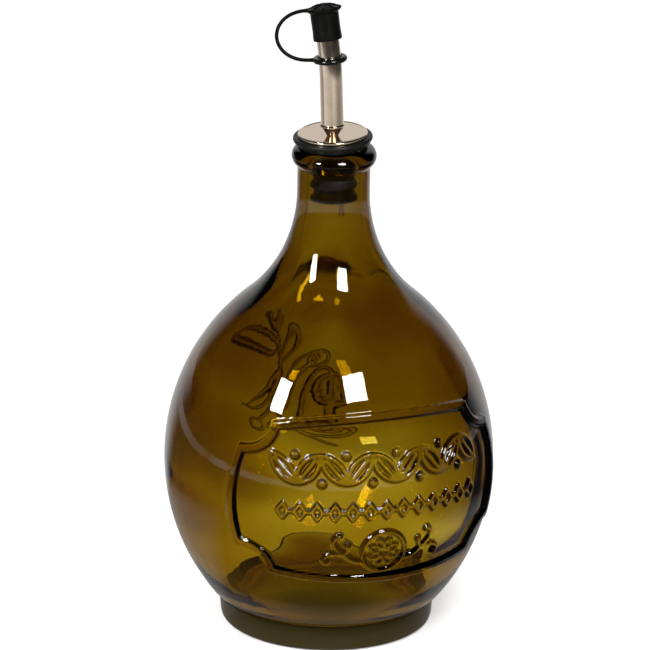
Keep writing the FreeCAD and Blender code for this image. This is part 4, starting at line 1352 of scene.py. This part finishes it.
def place_floor(stage):
    """A wide pale floor that keeps the cruet's shadow.

    What a surface mirrors and what is seen through the glass get painted glows of their own: painted
    reflections, a painted shadow below the foot and painted light round it, by their distance from the
    cruet's axis in metres and by how far behind it they lie.
    """
    half = 9e3
    corners = half * np.array([[-1, -1, 0], [1, -1, 0], [1, 1, 0], [-1, 1, 0]])
    floor = place_mesh("floor", corners, np.array([[0, 1, 2, 3]]), smooth=False)
    material, finish = new_finish("pale_floor")
    place = finish.place()
    reach = finish.vector("LENGTH", place, output="Value")
    behind = behind_share(finish, place, stage)
    clear, mirror = finish.clear_and_mirror()
    # Mirrored, painted reflections: the room as a far ring, a dim patch in front, the backdrop,
    # and painted light close to the foot.
    far = reach.rising(0.53, 0.585) * reach.rising(0.80, 0.95, 1.0, 0.0) * room_tone(finish, place, stage)
    near = behind.rising(-0.55, -0.15) * reach.rising(0.14, 0.20, 0.34, 0.0)
    backdrop = behind.rising(0.55, 0.82) * reach.rising(0.09, 0.17, 0.0, 0.68) + 0.04
    backdrop = backdrop + reach.rising(0.050, 0.062, 0.24, 0.0)
    mirrored = far.larger(near.larger(backdrop))
    # Seen through the glass: a painted shadow below the foot, painted light pale round it,
    # dimmer further off and in front.
    painted_foot_shadow = reach.rising(0.012, 0.036, 0.20, 1.0)
    close = reach.rising(0.12, 0.24, 0.76, 0.0) * behind.rising(-0.3, 0.5, 0.75, 1.0)
    beyond = reach.rising(0.12, 0.24) * behind.rising(0.25, 0.70, 0.26, 0.46)
    through = painted_foot_shadow * (close + beyond)
    lit = finish.node("ShaderNodeBsdfDiffuse", {}, {"Color": rgba(stage.floor)})
    glow = finish.node("ShaderNodeEmission", {}, {"Color": WHITE, "Strength": 0.35})
    bare = finish.node("ShaderNodeAddShader", {}, {0: lit, 1: glow})
    # Painted glow for rays through the glass or mirrored: painted shadow, painted light and painted
    # reflections in place of the lit floor.
    painted_glow = finish.node("ShaderNodeEmission", {}, {"Color": clear * through + mirror * mirrored})
    both = finish.node("ShaderNodeMixShader", {}, {0: (mirror + clear).clamp(), 1: bare, 2: painted_glow})
    finish.node("ShaderNodeOutputMaterial", {}, {"Surface": both})
    floor.data.materials.append(material)


def place_world(scene, stage):
    """A room that is white to the eye, pale behind the cruet and dark in front of it in the glass."""
    world = bpy.data.worlds.new("studio")
    scene.world = world
    world.use_nodes = True
    finish = Finish(world.node_tree)
    seen = finish.ray("Camera")
    clear, mirror = finish.clear_and_mirror()
    way = finish.node("ShaderNodeTexCoord", output="Generated")
    behind = behind_share(finish, way, stage)
    climb = finish.node("ShaderNodeSeparateXYZ", {}, {"Vector": way}, output="Z")
    mirrored = behind.rising(0.70, 0.88, 0.0, 0.65) * climb.rising(0.45, 0.70, 1.0, 0.0) + 0.010
    through = climb.rising(0.12, 0.55, 0.50, 0.09) * behind.rising(0.25, 0.70, 0.25, 1.0)
    diffuse = (1 - seen - clear - mirror).clamp()
    tone = seen + clear * through + mirror * mirrored + 0.75 * diffuse
    light = finish.node("ShaderNodeBackground", {}, {"Color": tone})
    finish.node("ShaderNodeOutputWorld", {}, {"Surface": light})
    scene.view_settings.view_transform = "Standard"


# --- add-on ------------------------------------------------------------------------------------------


class CRUET_PT_sidebar(bpy.types.Panel):
    """Lists the cruet's pieces and their values"""

    bl_label = "Cruet"
    bl_idname = "CRUET_PT_sidebar"
    bl_space_type = "VIEW_3D"
    bl_region_type = "UI"
    bl_category = "Cruet"

    def draw(self, context):
        for group, operators in (
            ("cruet_glass", ("cruet.bottle",)),
            ("cruet_pourer", ("cruet.stopper", "cruet.metal", "cruet.cap")),
            ("cruet_stage", ("cruet.stage",)),
        ):
            box = self.layout.box()
            values = getattr(context.scene, group)
            for key in values.bl_rna.properties.keys():
                if key not in ("rna_type", "name"):
                    box.prop(values, key)
            for operator in operators:
                box.operator(operator)


CLASSES = (
    CruetGlass,
    CruetPourer,
    CruetStage,
    CRUET_OT_bottle,
    CRUET_OT_stopper,
    CRUET_OT_metal,
    CRUET_OT_cap,
    CRUET_OT_stage,
    CRUET_PT_sidebar,
)


def register():
    for item in CLASSES:
        bpy.utils.register_class(item)
    bpy.types.Scene.cruet_glass = PointerProperty(type=CruetGlass)
    bpy.types.Scene.cruet_pourer = PointerProperty(type=CruetPourer)
    bpy.types.Scene.cruet_stage = PointerProperty(type=CruetStage)


def unregister():
    del bpy.types.Scene.cruet_stage
    del bpy.types.Scene.cruet_pourer
    del bpy.types.Scene.cruet_glass
    for item in reversed(CLASSES):
        bpy.utils.unregister_class(item)


def main():
    register()
    bpy.ops.cruet.bottle()
    bpy.ops.cruet.stopper()
    bpy.ops.cruet.metal()
    bpy.ops.cruet.cap()
    bpy.ops.cruet.stage()


if __name__ == "__main__":
    main()
